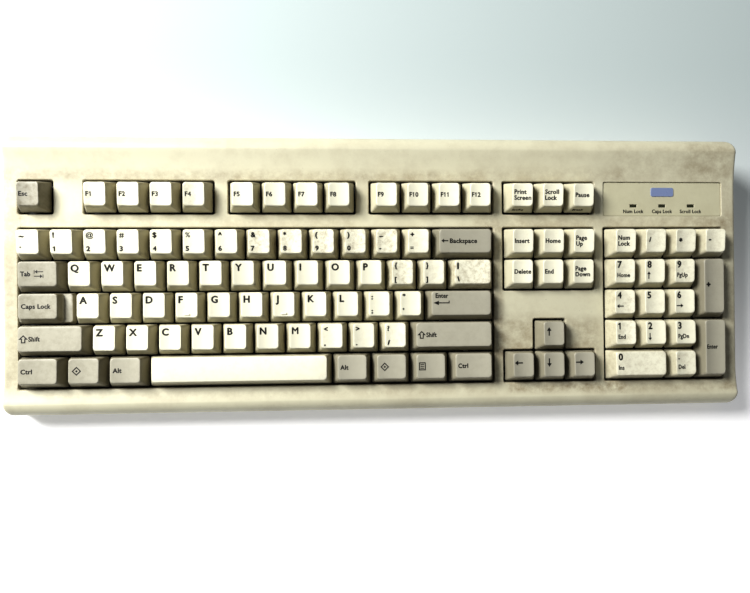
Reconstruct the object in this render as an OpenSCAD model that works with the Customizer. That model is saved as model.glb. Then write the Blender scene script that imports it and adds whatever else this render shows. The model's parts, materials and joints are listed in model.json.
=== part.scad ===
// Full-size mechanical keyboard: a two-part case, a mounting plate with 104 plunger
// switches, sculpted keycaps in separate wells, stabiliser wires, folding rear feet.
// Millimetres. Origin at the middle of the footprint, X to the right, Y to the rear, Z up.

/* [Key field] */
// Distance between the centres of neighbouring keys
key_pitch = 19.05; // [18.9:0.05:19.2]
// Strip between the blocks of keys, in key pitches
block_gap = 0.375; // [0.36:0.005:0.45]
// Gap between the skirts of neighbouring caps
cap_gap = 0.85; // [0.7:0.05:1]
// Space from the key grid to the edge of its well
well_margin = 0.74; // [0.6:0.02:0.8]
// How far a key travels
key_travel = 4; // [3.5:0.1:4]

/* [Keycaps] */
// Thickness of the cap walls
cap_wall = 1.3; // [1.1:0.1:1.5]
// How far each side of a cap leans in from skirt to top
cap_side_lean = 2.7; // [2.4:0.1:3]
// How far the front of a letter cap leans in
cap_front_lean = 3.1; // [2.6:0.1:3.4]
// How far the rear of a letter cap leans in
cap_rear_lean = 0.3; // [0.2:0.1:0.6]
// Depth of the finger dish
dish_depth = 0.8; // [0.5:0.1:1]
// Width of the raised part of the stepped cap, in key pitches
stepped_width = 1.5; // [1.45:0.01:1.55]
// Height of the low step beside it
step_height = 3.6; // [3:0.1:5]

/* [Case] */
// Case beyond the key field at each side
side_margin = 10; // [9.5:0.5:14]
// Case in front of the key field
front_margin = 16.8; // [16:0.2:20]
// From the front of the key field to the rear crest
crest_position = 143.2; // [143:0.2:150]
// Thickness of the case walls
case_wall = 2.5; // [2.2:0.1:2.8]
// Slope of the key deck
tilt = 6; // [5:0.5:7]
// Height of the deck above the desk at the front of the key field
deck_height = 21.5; // [21.5:0.5:26]
// Height of the joint between the two case halves
parting_height = 11; // [10:0.5:12]
// Radius of the rounded front edge
nose_radius = 7.8; // [6:0.2:8]
// Radius of the rounded rear edge
roll_radius = 8.8; // [7:0.2:9]
// Rise of the front lip over the deck
lip_rise = 2.2; // [1:0.1:2.6]
// Rise of the rear crest over the deck
crest_rise = 2.6; // [1:0.1:3]
// Radius of the case corners seen from above
corner_radius = 5; // [3:0.5:7]

/* [Feet and cable] */
// Height of the rubber feet
rubber_height = 2; // [1.5:0.1:3]
// Length of a folding foot from its pivot
foot_length = 24; // [18:1:26]
// Radius of the cable inlet
cable_radius = 2.4; // [2:0.1:3]

/* [Hidden] */
nav_x = 15 + block_gap;
pad_x = nav_x + 3 + block_gap;
field_width = (pad_x + 4) * key_pitch;
row_start = [0, 1, 2, 3, 4, 5.5];
row_height = [9.6, 9.7, 8.9, 9.2, 10.7, 10.5];
row_tilt = [-2, -2, 0, 2, 4, 4];
row_rear_extra = [0, 0, 0, 0.1, 0.6, 1.2];
row_front_extra = [0, 0, 0, 0, -0.2, -0.4];
function lean(row) = [cap_side_lean, cap_front_lean + row_front_extra[row], cap_rear_lean + row_rear_extra[row]];
case_width = field_width + 2 * side_margin;

// Levels along the deck normal, measured from the flat of the deck.
skirt_level = -1;
plate_level = -7.5;
plate_thickness = 1.5;
board_level = -12.5;
board_thickness = 1.6;
flange_level = -6.5;
floor_level = -11.3;
cover_level = -0.9;
roof_level = -2.4;
plunger_level = -5.5;
stem_level = 2.7;
pin_level = -16.2;

// Switch sizes.
switch_hole = 13.95;
switch_body = 13.8;
switch_flange = 14.8;
switch_cavity = 11;
plunger_size = [7, 6];
plunger_wing = 9;
stem_arm = [4, 1.2];
pin_places = [[-3.81, 4.6], [2.54, 4.6]];
pin_slot = [8, 0.8];
pin_slot_at = [-0.6, 4.6];
pin_size = [1.3, 0.4];
peg_radius = 1.9;

// The larger parts of the board sit in the strip between the number row and the function keys.
parts_s = 5.25 * key_pitch;

// Stabilisers: a wire lies on the plate beside the switch and lifts two posts of the cap.
wire_radius = 0.7;
wire_offset = 8.3;
wire_level = plate_level + wire_radius + 0.1;
wire_angle = asin(key_travel / wire_offset);
running_gap = 0.08;
post_level = wire_level + key_travel;
post_size = [3.6, 6];
leg_offset = 3;
short_span = 11.9;
space_span = 42;

// Case.
front_s = -front_margin;
nose_s = front_s + nose_radius;
flat_from = 8;
flat_to = 118;
bottom_level = rubber_height;
floor_thickness = 2.2;
function deck_point(s, n) = [s * cos(tilt) - n * sin(tilt), s * sin(tilt) + n * cos(tilt)];
front_reach = deck_point(nose_s, lip_rise - nose_radius)[0] - nose_radius;
rear_reach = deck_point(crest_position, crest_rise - roll_radius)[0] + roll_radius;
deck_y = -(front_reach + rear_reach) / 2;
case_depth = rear_reach - front_reach;
skirt_thickness = 1.5;
skirt_bottom = plate_level + 0.3;

// Indicator panel, over the number pad.
panel_size = [4 * key_pitch + 0.8, 21.4];
panel_centre = [(pad_x + 2) * key_pitch - field_width / 2, 5.975 * key_pitch];
panel_recess = 1.6;
panel_thickness = 1;
window_size = [4.4, 1.7];
window_pitch = 18.75;
window_s = 109.6;
badge_size = [14.8, 5.6];
badge_s = 118.3;

// Screws: the same self-tapping screw holds the case halves and the plate.
screw_radius = 1.2;
screw_length = 10;
head_radius = 2.7;
head_height = 1.8;
boss_radius = 3;
case_screws = [for (x = [-150, -50, 50, 150]) each [[x, -10], [x, 141]]];
plate_screws = [for (x = [-207, -100, 0, 100, 207]) each [[x, -6], [x, 129.5]]];
head_recess = 2;

// Folding feet.
foot_x = 180;
foot_width = 30;
foot_thickness = 4.2;
pivot_y = case_depth / 2 - 12;
pivot_z = bottom_level + 2.8;
pivot_radius = 1.5;
pocket_size = [33, 30];
pocket_height = 7;
pocket_wall = 2;

// Cable gland.
gland_z = 20;
gland_radius = 4.5;
gland_flange = 6.5;
gland_depth = 6;

// Every key is [node, x, row, width, depth], in key pitches.
function ones(n) = [for (i = [1 : n]) 1];
function before(widths, i) = i == 0 ? 0 : widths[i - 1] + before(widths, i - 1);
function run(name, row, x, widths) =
    [for (i = [0 : len(widths) - 1]) [name, x + before(widths, i), row, widths[i], 1]];
KEYS = concat(
    run("esc_key", 5, 0, [1]),
    run("f1_f4_keys", 5, 2, ones(4)),
    run("f5_f8_keys", 5, 6.5, ones(4)),
    run("f9_f12_keys", 5, 11, ones(4)),
    run("system_keys", 5, nav_x, ones(3)),
    run("number_row_keys", 4, 0, ones(13)),
    run("backspace_key", 4, 13, [2]),
    run("tab_key", 3, 0, [1.5]),
    run("upper_letter_keys", 3, 1.5, concat(ones(12), [1.5])),
    run("caps_lock_key", 2, 0, [1.75]),
    run("home_letter_keys", 2, 1.75, ones(11)),
    run("enter_key", 2, 12.75, [2.25]),
    run("left_shift_key", 1, 0, [2.25]),
    run("lower_letter_keys", 1, 2.25, ones(10)),
    run("right_shift_key", 1, 12.25, [2.75]),
    run("left_ctrl_key", 0, 0, [1.5]),
    run("left_super_key", 0, 1.5, [1.25]),
    run("left_alt_key", 0, 2.75, [1.25]),
    run("space_bar", 0, 4, [5.75]),
    run("right_alt_key", 0, 9.75, [1.25]),
    run("right_super_key", 0, 11, [1.25]),
    run("menu_key", 0, 12.25, [1.25]),
    run("right_ctrl_key", 0, 13.5, [1.5]),
    run("navigation_keys", 4, nav_x, ones(3)),
    run("navigation_keys", 3, nav_x, ones(3)),
    run("up_arrow_key", 1, nav_x + 1, [1]),
    run("left_arrow_key", 0, nav_x, [1]),
    run("down_arrow_key", 0, nav_x + 1, [1]),
    run("right_arrow_key", 0, nav_x + 2, [1]),
    run("pad_operator_keys", 4, pad_x, ones(4)),
    run("pad_digit_keys", 3, pad_x, ones(3)),
    run("pad_digit_keys", 2, pad_x, ones(3)),
    run("pad_digit_keys", 1, pad_x, ones(3)),
    run("pad_digit_keys", 0, pad_x + 2, [1]),
    run("pad_zero_key", 0, pad_x, [2]),
    [["pad_plus_key", pad_x + 3, 2, 1, 2]],
    [["pad_enter_key", pad_x + 3, 0, 1, 2]]
);
KEY_NODES = [for (i = [0 : len(KEYS) - 1]) if (i == 0 || KEYS[i][0] != KEYS[i - 1][0]) KEYS[i][0]];

// Wells are [x, start, width, depth], in key pitches.
WELLS = [
    [0, 0, 15, 5], [0, 5.5, 1, 1], [2, 5.5, 4, 1], [6.5, 5.5, 4, 1], [11, 5.5, 4, 1],
    [nav_x, 5.5, 3, 1], [nav_x, 3, 3, 2], [nav_x, 0, 3, 1], [nav_x + 1, 0, 1, 2], [pad_x, 0, 4, 5]
];

function is_tall(k) = k[4] > 1;
function is_space(k) = k[3] > 3;
function is_stepped(k) = k[0] == "caps_lock_key";
function is_stabilised(k) = max(k[3], k[4]) >= 2;
function half_span(k) = is_space(k) ? space_span : short_span;
WIRED = [for (k = KEYS) if (is_stabilised(k)) k];
function wire_name(k) = str(k[0], "_wire");
function cap_centre(k) =
    [(k[1] + k[3] / 2) * key_pitch - field_width / 2, (row_start[k[2]] + k[4] / 2) * key_pitch];
function switch_centre(k) = is_stepped(k)
    ? [(k[1] + stepped_width / 2) * key_pitch - field_width / 2, cap_centre(k)[1]]
    : cap_centre(k);

// ---- Helpers ----

module on_deck() translate([0, deck_y, deck_height]) rotate([tilt, 0, 0]) children();

module at_switches() on_deck() for (k = KEYS) translate(switch_centre(k)) children();

module at_wire(k) on_deck() translate(cap_centre(k)) rotate(is_tall(k) ? 90 : 0) children();

// A block centred on the point at, from level low to level high.
module box(size, low, high, at = [0, 0])
    translate([at[0] - size[0] / 2, at[1] - size[1] / 2, low]) cube([size[0], size[1], high - low]);

// A block whose four sides lean in and whose top may slope from front to rear.
module frustum(size, low, high, side, front, rear, slope = 0) {
    a = size / 2;
    top_front = -a[1] + front;
    top_rear = a[1] - rear;
    fall = tan(slope) * (top_rear - top_front) / 2;
    polyhedron(
        points = [
            [-a[0], -a[1], low], [a[0], -a[1], low], [a[0], a[1], low], [-a[0], a[1], low],
            [-a[0] + side, top_front, high - fall], [a[0] - side, top_front, high - fall],
            [a[0] - side, top_rear, high + fall], [-a[0] + side, top_rear, high + fall]
        ],
        faces = [[0, 1, 2, 3], [4, 5, 1, 0], [7, 6, 5, 4], [5, 6, 2, 1], [6, 7, 3, 2], [7, 4, 0, 3]]
    );
}

function arc(centre, r, from, to, steps) =
    [for (i = [0 : steps]) let (a = from + (to - from) * i / steps) centre + r * [cos(a), sin(a)]];

function plan(w, d, r) = concat(
    arc([w / 2 - r, d / 2 - r], r, 0, 90, 4), arc([r - w / 2, d / 2 - r], r, 90, 180, 4),
    arc([r - w / 2, r - d / 2], r, 180, 270, 4), arc([w / 2 - r, r - d / 2], r, 270, 360, 4)
);

// ---- Case ----

// The top of the case in side view: rounded nose, hollow deck, rear crest and its roll.
function top_line(inset) = concat(
    arc([nose_s, lip_rise - nose_radius], nose_radius - inset, 180 - tilt, 90, 6),
    [for (i = [1 : 4]) let (t = i / 4)
        [nose_s + (flat_from - nose_s) * t, lip_rise * (1 - t) * (1 - t) - inset]],
    [for (i = [0 : 3]) let (t = i / 4)
        [flat_to + (crest_position - flat_to) * t, crest_rise * t * t - inset]],
    arc([crest_position, crest_rise - roll_radius], roll_radius - inset, 90, -tilt, 6)
);

module case_block(inset, low) {
    line = [for (p = top_line(inset)) deck_point(p[0], p[1]) + [deck_y, deck_height]];
    outline = concat([[line[0][0], low]], line, [[line[len(line) - 1][0], low]]);
    w = case_width - 2 * inset;
    intersection() {
        translate([-w / 2, 0, 0]) rotate([90, 0, 90]) linear_extrude(w) polygon(outline);
        translate([0, 0, low - 1]) linear_extrude(deck_height * 3)
            polygon(plan(w, case_depth - 2 * inset, corner_radius - min(inset, corner_radius - 1)));
    }
}

module wells(grow, low, high)
    on_deck() for (w = WELLS)
        translate([w[0] * key_pitch - field_width / 2 - grow, w[1] * key_pitch - grow, low])
            cube([w[2] * key_pitch + 2 * grow, w[3] * key_pitch + 2 * grow, high - low]);

module at_case_screws()
    for (p = case_screws) translate([p[0], deck_point(p[1], 0)[0] + deck_y, 0]) children();

module at_plate_screws() on_deck() for (p = plate_screws) translate([p[0], p[1], 0]) children();

module at_windows()
    on_deck() for (i = [-1 : 1]) translate([panel_centre[0] + i * window_pitch, window_s, 0]) children();

module top_case() color("#d9d4bb") difference() {
    union() {
        difference() {
            case_block(0, parting_height);
            case_block(case_wall, parting_height - 1);
        }
        intersection() {
            union() {
                wells(well_margin + skirt_thickness, skirt_bottom, 5);
                at_case_screws() translate([0, 0, bottom_level + floor_thickness + 1.3])
                    cylinder(r = boss_radius, h = 60, $fn = 12);
            }
            case_block(case_wall / 2, bottom_level);
        }
    }
    wells(well_margin, -20, 20);
    at_case_screws() cylinder(r = screw_radius + 0.05, h = 15.5, $fn = 24);
    on_deck() box(panel_size, -panel_recess, 5, panel_centre);
    at_windows() box(window_size + [0.2, 0.2], -5, 0);
    translate([0, case_depth / 2 + 1, gland_z]) rotate([90, 0, 0])
        cylinder(r = gland_radius + 0.05, h = case_wall + 3, $fn = 48);
}

module foot_pockets(grow, height)
    for (side = [-1, 1])
        translate([side * foot_x - pocket_size[0] / 2 - grow, pivot_y + 4 - pocket_size[1] - grow, 0])
            cube([pocket_size[0] + 2 * grow, pocket_size[1] + 2 * grow, height + grow]);

module bottom_case() color("#c9c3a6") difference() {
    union() {
        difference() {
            translate([0, 0, bottom_level]) linear_extrude(parting_height - bottom_level)
                polygon(plan(case_width, case_depth, corner_radius));
            translate([0, 0, bottom_level + floor_thickness]) linear_extrude(parting_height)
                polygon(plan(case_width - 2 * case_wall, case_depth - 2 * case_wall, corner_radius - case_wall));
        }
        translate([0, 0, bottom_level]) foot_pockets(pocket_wall, pocket_height);
        at_case_screws() translate([0, 0, bottom_level])
            cylinder(r = head_radius + 1.5, h = floor_thickness + 1.2, $fn = 12);
        intersection() {
            at_plate_screws() translate([0, 0, -40])
                cylinder(r = boss_radius, h = 40 + plate_level - plate_thickness, $fn = 12);
            translate([-case_width / 2, -case_depth / 2, bottom_level]) cube([case_width, case_depth, 60]);
        }
    }
    translate([0, 0, bottom_level - pocket_wall]) foot_pockets(0, pocket_height + pocket_wall);
    at_case_screws() {
        cylinder(r = screw_radius + 0.3, h = 20, $fn = 24);
        cylinder(r = head_radius + 0.3, h = bottom_level + head_recess, $fn = 24);
    }
    at_plate_screws() translate([0, 0, plate_level - screw_length - 1])
        cylinder(r = screw_radius + 0.05, h = screw_length + 1, $fn = 24);
    for (side = [-1, 1])
        translate([side * foot_x - pocket_size[0] / 2 - pocket_wall - 1, pivot_y, pivot_z]) rotate([0, 90, 0])
            cylinder(r = pivot_radius + running_gap, h = pocket_size[0] + 2 * pocket_wall + 2, $fn = 32);
}

module indicator_panel() color("#cfcab2") difference() {
    on_deck() box(panel_size - [0.3, 0.3], -panel_recess, panel_thickness - panel_recess, panel_centre);
    at_windows() box(window_size + [0.2, 0.2], -5, 5);
}

// A blank badge with rounded corners.
module badge() color("#6f83b5") on_deck()
    translate([panel_centre[0], badge_s, panel_thickness - panel_recess]) linear_extrude(0.4)
        polygon(plan(badge_size[0], badge_size[1], 1.2));

module led_windows() color("#3a3a26") at_windows() box(window_size, -panel_recess - 1, -0.7);

module leds() color("#9fd08a") at_windows() {
    box([3, 2], -6.5, -3.2);
    for (x = [-0.9, 0.9]) box([0.5, 0.5], board_level, -6.5, [x, 0]);
}

module cable_gland() color("#38362f")
    translate([0, case_depth / 2, gland_z]) rotate([90, 0, 0]) difference() {
        union() {
            cylinder(r = gland_radius, h = gland_depth, $fn = 48);
            translate([0, 0, case_wall + 0.1]) cylinder(r = gland_flange, h = 1.5, $fn = 48);
        }
        translate([0, 0, -1]) cylinder(r = cable_radius, h = gland_depth + 2, $fn = 48);
    }

module rubber_feet() color("#2e2d2a")
    for (x = [-1, 1], y = [-1, 1])
        translate([x * (case_width / 2 - 14), y * (case_depth / 2 - 12), 0])
            cylinder(r = 6, h = rubber_height, $fn = 48);

module tilt_foot(side) color("#bdb89c") translate([side * foot_x, pivot_y, pivot_z]) {
    translate([-foot_width / 2, -foot_length, -foot_thickness / 2])
        cube([foot_width, foot_length, foot_thickness]);
    translate([-foot_width / 2 - 3, 0, 0]) rotate([0, 90, 0])
        cylinder(r = pivot_radius, h = foot_width + 6, $fn = 32);
    translate([-foot_width / 2, 0, 0]) rotate([0, 90, 0])
        cylinder(r = foot_thickness / 2, h = foot_width, $fn = 32);
}

module screw() {
    cylinder(r = screw_radius, h = screw_length, $fn = 24);
    translate([0, 0, -head_height]) cylinder(r = head_radius, h = head_height, $fn = 24);
}

module screws() color("#8d8d88") {
    at_case_screws() translate([0, 0, bottom_level + head_recess]) screw();
    at_plate_screws() translate([0, 0, plate_level]) rotate([180, 0, 0]) screw();
}

// ---- Plate, board and switches ----

module mounting_plate() color("#4c4f50") on_deck()
    translate([0, 0, plate_level - plate_thickness]) linear_extrude(plate_thickness) difference() {
        union() {
            translate([-field_width / 2 - 1, -2]) square([field_width + 2, 6.5 * key_pitch + 4]);
            for (p = plate_screws) translate(p) square([12, 12], center = true);
        }
        for (k = KEYS) translate(switch_centre(k)) square(switch_hole, center = true);
        for (k = WIRED, side = [-1, 1]) translate(cap_centre(k)) rotate(is_tall(k) ? 90 : 0)
            translate([side * (half_span(k) + 0.4), 0]) square([8, 9], center = true);
        for (p = plate_screws) translate(p) circle(r = screw_radius + 0.3, $fn = 24);
        translate([panel_centre[0], window_s]) square([2 * window_pitch + 8, 6], center = true);
    }

module circuit_board() color("#2f6b45") on_deck()
    translate([0, 0, board_level - board_thickness]) linear_extrude(board_thickness) difference() {
        translate([-field_width / 2 - 1, -0.5]) square([field_width + 2, 6.5 * key_pitch + 1.5]);
        for (k = KEYS) translate(switch_centre(k)) {
            square(2 * peg_radius + 0.4, center = true);
            translate(pin_slot_at) square(pin_slot, center = true);
        }
    }

module switch_base() difference() {
    union() {
        box([switch_flange, switch_flange], plate_level, flange_level);
        box([switch_body, switch_body], board_level, plate_level);
        translate([0, 0, board_level - board_thickness - 1]) cylinder(r = peg_radius, h = 3, $fn = 6);
    }
    box([switch_cavity, switch_cavity], floor_level, 0);
    box(pin_slot, board_level - 1, floor_level + 1, pin_slot_at);
}

module switch_bases() color("#26282b") at_switches() switch_base();

module switch_covers() color("#3c3f44") at_switches() difference() {
    frustum([14, 14], flange_level, cover_level, 1.4, 0.8, 0.8);
    box([switch_cavity, switch_cavity], flange_level - 1, roof_level);
    box(plunger_size + [0.4, 0.4], roof_level - 1, 0);
}

module switch_springs() color("#b9bcc0") at_switches() difference() {
    translate([0, 0, floor_level]) cylinder(r = 2.6, h = plunger_level - floor_level, $fn = 6);
    translate([0, 0, floor_level - 1]) cylinder(r = 2, h = 10, $fn = 6);
}

module switch_contacts() color("#c9a24d") at_switches() {
    box(pin_size, pin_level, floor_level + 0.5, pin_places[0]);
    box(pin_size, pin_level, flange_level - 1, pin_places[1]);
}

// The moving part inside a switch: a block, two wings that stop it under the cover, and a cross.
module plunger() color("#35508f") {
    box(plunger_size, plunger_level, cover_level);
    box([plunger_wing, plunger_size[1]], roof_level - 1.6, roof_level - 0.2);
    box(stem_arm, cover_level, stem_level);
    box([stem_arm[1], stem_arm[0]], cover_level, stem_level);
}

module board_parts() color("#23262a") {
    on_deck() {
        under = board_level - board_thickness;
        box([20, 10], under - 2.5, under, [40, parts_s]);
        box([26, 8], under - 3, under, [0, parts_s]);
        box([6, 4], under - 3, under, [58, parts_s]);
        for (x = [-30, 75]) translate([x, parts_s, under - 6]) cylinder(r = 2.5, h = 6, $fn = 12);
    }
    at_switches() box([4, 1.6], board_level - board_thickness - 1.4, board_level - board_thickness, [0, -5]);
}

// ---- Stabilisers ----

module wire_rod(length) cylinder(r = wire_radius - 0.05, h = length, $fn = 8);

module stabiliser_wire(k) color("#a9adb0") at_wire(k) translate([0, -wire_offset, wire_level]) {
    reach = half_span(k) + leg_offset;
    translate([-reach - wire_radius, 0, 0]) rotate([0, 90, 0])
        cylinder(r = wire_radius, h = 2 * (reach + wire_radius), $fn = 24);
    for (side = [-1, 1]) rotate([wire_angle, 0, 0]) {
        translate([side * reach, 0, 0]) rotate([-90, 0, 0]) wire_rod(wire_offset + wire_radius);
        translate([side * reach, wire_offset, 0]) rotate([0, -90 * side, 0]) wire_rod(leg_offset + 1.5);
    }
}

module stabiliser_clips() color("#e8e6dc")
    for (k = WIRED, side = [-1, 1]) at_wire(k)
        translate([side * (is_space(k) ? half_span(k) - 6 : half_span(k) - 1.9), -wire_offset, 0]) difference() {
            box([2.6, 3], plate_level, plate_level + 2.2);
            translate([-5, 0, wire_level]) rotate([0, 90, 0])
                cylinder(r = wire_radius + running_gap, h = 10, $fn = 24);
        }

// ---- Keys ----

module cap_hollow(size, height, l) {
    inside = size - 2 * [cap_wall, cap_wall];
    share = 0.85;
    box(inside, skirt_level - 5, skirt_level);
    frustum(inside, skirt_level, skirt_level + height - dish_depth - 1.3, l[0] * share, l[1] * share, l[2] * share);
}

module cap_solid(size, height, l, slope)
    frustum(size, skirt_level, skirt_level + height, l[0], l[1], l[2], slope);

module dish(size, height, l, slope) {
    reach = size[0] / 2 - l[0] - 0.6;
    translate([0, (l[1] - l[2]) / 2, skirt_level + height]) rotate([90 + slope, 0, 0])
        linear_extrude(size[1] + 4, center = true) polygon(concat(
            [[-reach, 3]],
            [for (i = [-2 : 2]) let (t = i / 2) [t * reach, dish_depth * (t * t - 1)]],
            [[reach, 3]]
        ));
}

module cap_post(height) difference() {
    translate([0, 0, cover_level + 0.02]) cylinder(r = 3.1, h = height - 2 - cover_level + skirt_level, $fn = 6);
    box(stem_arm + [0.1, 0.1], -2, stem_level + 0.1);
    box([stem_arm[1], stem_arm[0]] + [0.1, 0.1], -2, stem_level + 0.1);
}

module stabiliser_post(height) difference() {
    box(post_size, post_level - 1.8, skirt_level + height - 2);
    translate([-5, -4, post_level - wire_radius - 0.25]) cube([10, 5.2, 2 * wire_radius + 0.5]);
}

// The raised part of a cap fills block of the footprint, the rest is a low step.
module cap(k) {
    footprint = [k[3], k[4]] * key_pitch - [cap_gap, cap_gap];
    raised = is_stepped(k) ? [stepped_width * key_pitch - cap_gap, footprint[1]] : footprint;
    height = row_height[k[2]];
    slope = is_tall(k) ? 0 : row_tilt[k[2]];
    shift = (raised[0] - footprint[0]) / 2;
    l = lean(k[2]);
    difference() {
        union() {
            translate([shift, 0, 0]) cap_solid(raised, height, l, slope);
            if (is_stepped(k))
                frustum(footprint, skirt_level, skirt_level + step_height, 0.9, 1.2, 0.3);
        }
        if (!is_space(k)) translate([shift, 0, 0]) dish(raised, height, l, slope);
        translate([shift, 0, 0]) cap_hollow(raised, height, l);
        if (is_stepped(k))
            frustum(footprint - 2 * [cap_wall, cap_wall], skirt_level - 0.01, skirt_level + step_height - 1.2,
                0.7, 0.9, 0.2);
    }
    translate([shift, 0, 0]) cap_post(height);
    if (is_stabilised(k)) rotate(is_tall(k) ? 90 : 0) for (side = [-1, 1])
        translate([side * half_span(k), 0, 0]) stabiliser_post(height);
}

function is_grey(k) = max(k[3], k[4]) > 1.2 && !is_space(k) && k[0] != "pad_zero_key"
    && k[0] != "upper_letter_keys" || k[0] == "esc_key" || k[2] < 2 && k[1] >= nav_x && k[1] < pad_x;

module key(k) {
    color(is_grey(k) ? "#a5a192" : "#e9e6d6") on_deck() translate(cap_centre(k)) cap(k);
    on_deck() translate(switch_centre(k)) plunger();
}

module key_group(name) for (k = KEYS) if (k[0] == name) key(k);

top_case();
bottom_case();
indicator_panel();
badge();
led_windows();
leds();
mounting_plate();
switch_bases();
switch_covers();
switch_springs();
switch_contacts();
stabiliser_clips();
circuit_board();
board_parts();
cable_gland();
rubber_feet();
screws();
tilt_foot(-1);  // left_tilt_foot
tilt_foot(1);  // right_tilt_foot
for (k = WIRED) stabiliser_wire(k);
for (name = KEY_NODES) key_group(name);
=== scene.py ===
import json
import math
import random

import bmesh
import bpy
from mathutils import Matrix, Vector


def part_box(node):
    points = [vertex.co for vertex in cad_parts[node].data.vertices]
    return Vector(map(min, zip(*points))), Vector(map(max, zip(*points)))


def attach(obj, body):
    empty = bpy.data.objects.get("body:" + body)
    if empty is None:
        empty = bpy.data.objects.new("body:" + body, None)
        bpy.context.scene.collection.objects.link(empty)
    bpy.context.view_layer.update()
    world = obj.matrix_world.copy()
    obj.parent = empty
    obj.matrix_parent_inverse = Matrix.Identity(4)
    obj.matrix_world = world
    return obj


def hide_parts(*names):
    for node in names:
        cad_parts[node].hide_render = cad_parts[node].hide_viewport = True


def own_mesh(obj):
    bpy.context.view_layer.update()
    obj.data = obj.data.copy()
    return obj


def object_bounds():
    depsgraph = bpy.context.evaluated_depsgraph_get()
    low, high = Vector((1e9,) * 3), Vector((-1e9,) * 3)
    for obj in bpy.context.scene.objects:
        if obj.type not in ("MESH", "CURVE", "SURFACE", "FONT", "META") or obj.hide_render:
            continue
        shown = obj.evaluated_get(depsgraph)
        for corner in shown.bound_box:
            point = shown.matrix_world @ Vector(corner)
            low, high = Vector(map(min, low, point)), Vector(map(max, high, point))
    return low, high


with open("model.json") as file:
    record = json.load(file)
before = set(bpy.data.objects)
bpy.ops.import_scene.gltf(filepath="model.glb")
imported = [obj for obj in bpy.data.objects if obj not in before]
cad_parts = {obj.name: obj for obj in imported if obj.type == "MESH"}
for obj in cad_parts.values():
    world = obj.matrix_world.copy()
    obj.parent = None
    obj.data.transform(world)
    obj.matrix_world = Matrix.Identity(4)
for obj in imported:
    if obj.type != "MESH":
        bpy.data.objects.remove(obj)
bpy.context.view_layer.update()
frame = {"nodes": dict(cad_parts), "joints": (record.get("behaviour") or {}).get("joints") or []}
NODES = frame["nodes"]
JOINTS = {j["name"]: j for j in frame["joints"]}
random.seed(20)
MM = 0.001
PITCH = 19.05

# ---- The deck: x to the right, s from the front of the key field, n along the key travel ----

NORMAL = -Vector(JOINTS["esc_key_press"]["axis"]).normalized()
TILT = math.atan2(-NORMAL.y, NORMAL.z)
TURN = Matrix.Rotation(TILT, 4, "X")


def along(node, axis):
    way = TURN @ Vector(axis)
    return [way.dot(v.co) for v in NODES[node].data.vertices]


PLATE_TOP, BOARD_FRONT = -7.5 * MM, -0.5 * MM
ORIGIN = TURN @ Vector((0, min(along("circuit_board", (0, 1, 0))) - BOARD_FRONT,
                        max(along("mounting_plate", (0, 0, 1))) - PLATE_TOP))
DECK = Matrix.Translation(ORIGIN) @ TURN @ Matrix.Scale(MM, 4)
WORLD = Matrix.Scale(MM, 4)
TO_DECK = DECK.inverted()


def deck_box(node):
    """A node's box in the deck's frame, in millimetres."""
    points = [TO_DECK @ v.co for v in NODES[node].data.vertices]
    return [min(p[i] for p in points) for i in range(3)], [max(p[i] for p in points) for i in range(3)]


def mm_box(node):
    return [[c / MM for c in p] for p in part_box(node)]


CASE_LOW, CASE_HIGH = mm_box("top_case")
WIDTH = CASE_HIGH[0] - CASE_LOW[0]
DEPTH = CASE_HIGH[1] - CASE_LOW[1]
PARTING = 11.0
FIELD = deck_box("circuit_board")
LEFT = FIELD[0][0] + 1
DECK_Y, DECK_Z = ORIGIN.y / MM, ORIGIN.z / MM


# ---- Mesh helpers ----

def mesh_object(name, verts, faces, matrix=WORLD):
    me = bpy.data.meshes.new(name)
    me.from_pydata([matrix @ Vector(v) for v in verts], [], faces)
    bm = bmesh.new()
    bm.from_mesh(me)
    bmesh.ops.recalc_face_normals(bm, faces=bm.faces)
    bm.to_mesh(me)
    bm.free()
    ob = bpy.data.objects.new(name, me)
    bpy.context.scene.collection.objects.link(ob)
    return ob


def loft(rings, closed=True):
    """Rings of equal length, joined in order and closed at both ends."""
    count = len(rings[0])
    verts, faces = [v for ring in rings for v in ring], []
    for i in range(len(rings) - 1):
        for j in range(count):
            a, b = i * count + j, i * count + (j + 1) % count
            faces.append((a, b, b + count, a + count))
    if closed:
        faces.append(tuple(reversed(range(count))))
        faces.append(tuple((len(rings) - 1) * count + j for j in range(count)))
    return verts, faces


def boolean(target, cutter, how="DIFFERENCE"):
    mod = target.modifiers.new("cut", "BOOLEAN")
    mod.operation = how
    mod.solver = "EXACT"
    mod.object = cutter
    deps = bpy.context.evaluated_depsgraph_get()
    me = bpy.data.meshes.new_from_object(target.evaluated_get(deps))
    target.modifiers.clear()
    target.data = me
    bpy.data.objects.remove(cutter)
    return target


def outline(x0, x1, y0, y1, r, k=5, nx=0, ny=0):
    """A rounded rectangle, counter-clockwise, with nx and ny more points on its long and short sides."""
    r = min(r, (x1 - x0) / 2 - 0.01, (y1 - y0) / 2 - 0.01)
    corners = (((x1 - r), (y1 - r), 0), ((x0 + r), (y1 - r), 90), ((x0 + r), (y0 + r), 180), ((x1 - r), (y0 + r), 270))
    points = []
    for c, (cx, cy, start) in enumerate(corners):
        for i in range(k + 1):
            a = math.radians(start + 90 * i / k)
            points.append((cx + r * math.cos(a), cy + r * math.sin(a)))
        more = nx if c % 2 == 0 else ny
        here = points[-1]
        nxt = corners[(c + 1) % 4]
        a = math.radians(nxt[2])
        there = (nxt[0] + r * math.cos(a), nxt[1] + r * math.sin(a))
        for i in range(more):
            t = (i + 1) / (more + 1)
            points.append((here[0] + (there[0] - here[0]) * t, here[1] + (there[1] - here[1]) * t))
    return points


def raised(points, z):
    return [(p[0], p[1], z) for p in points]


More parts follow.
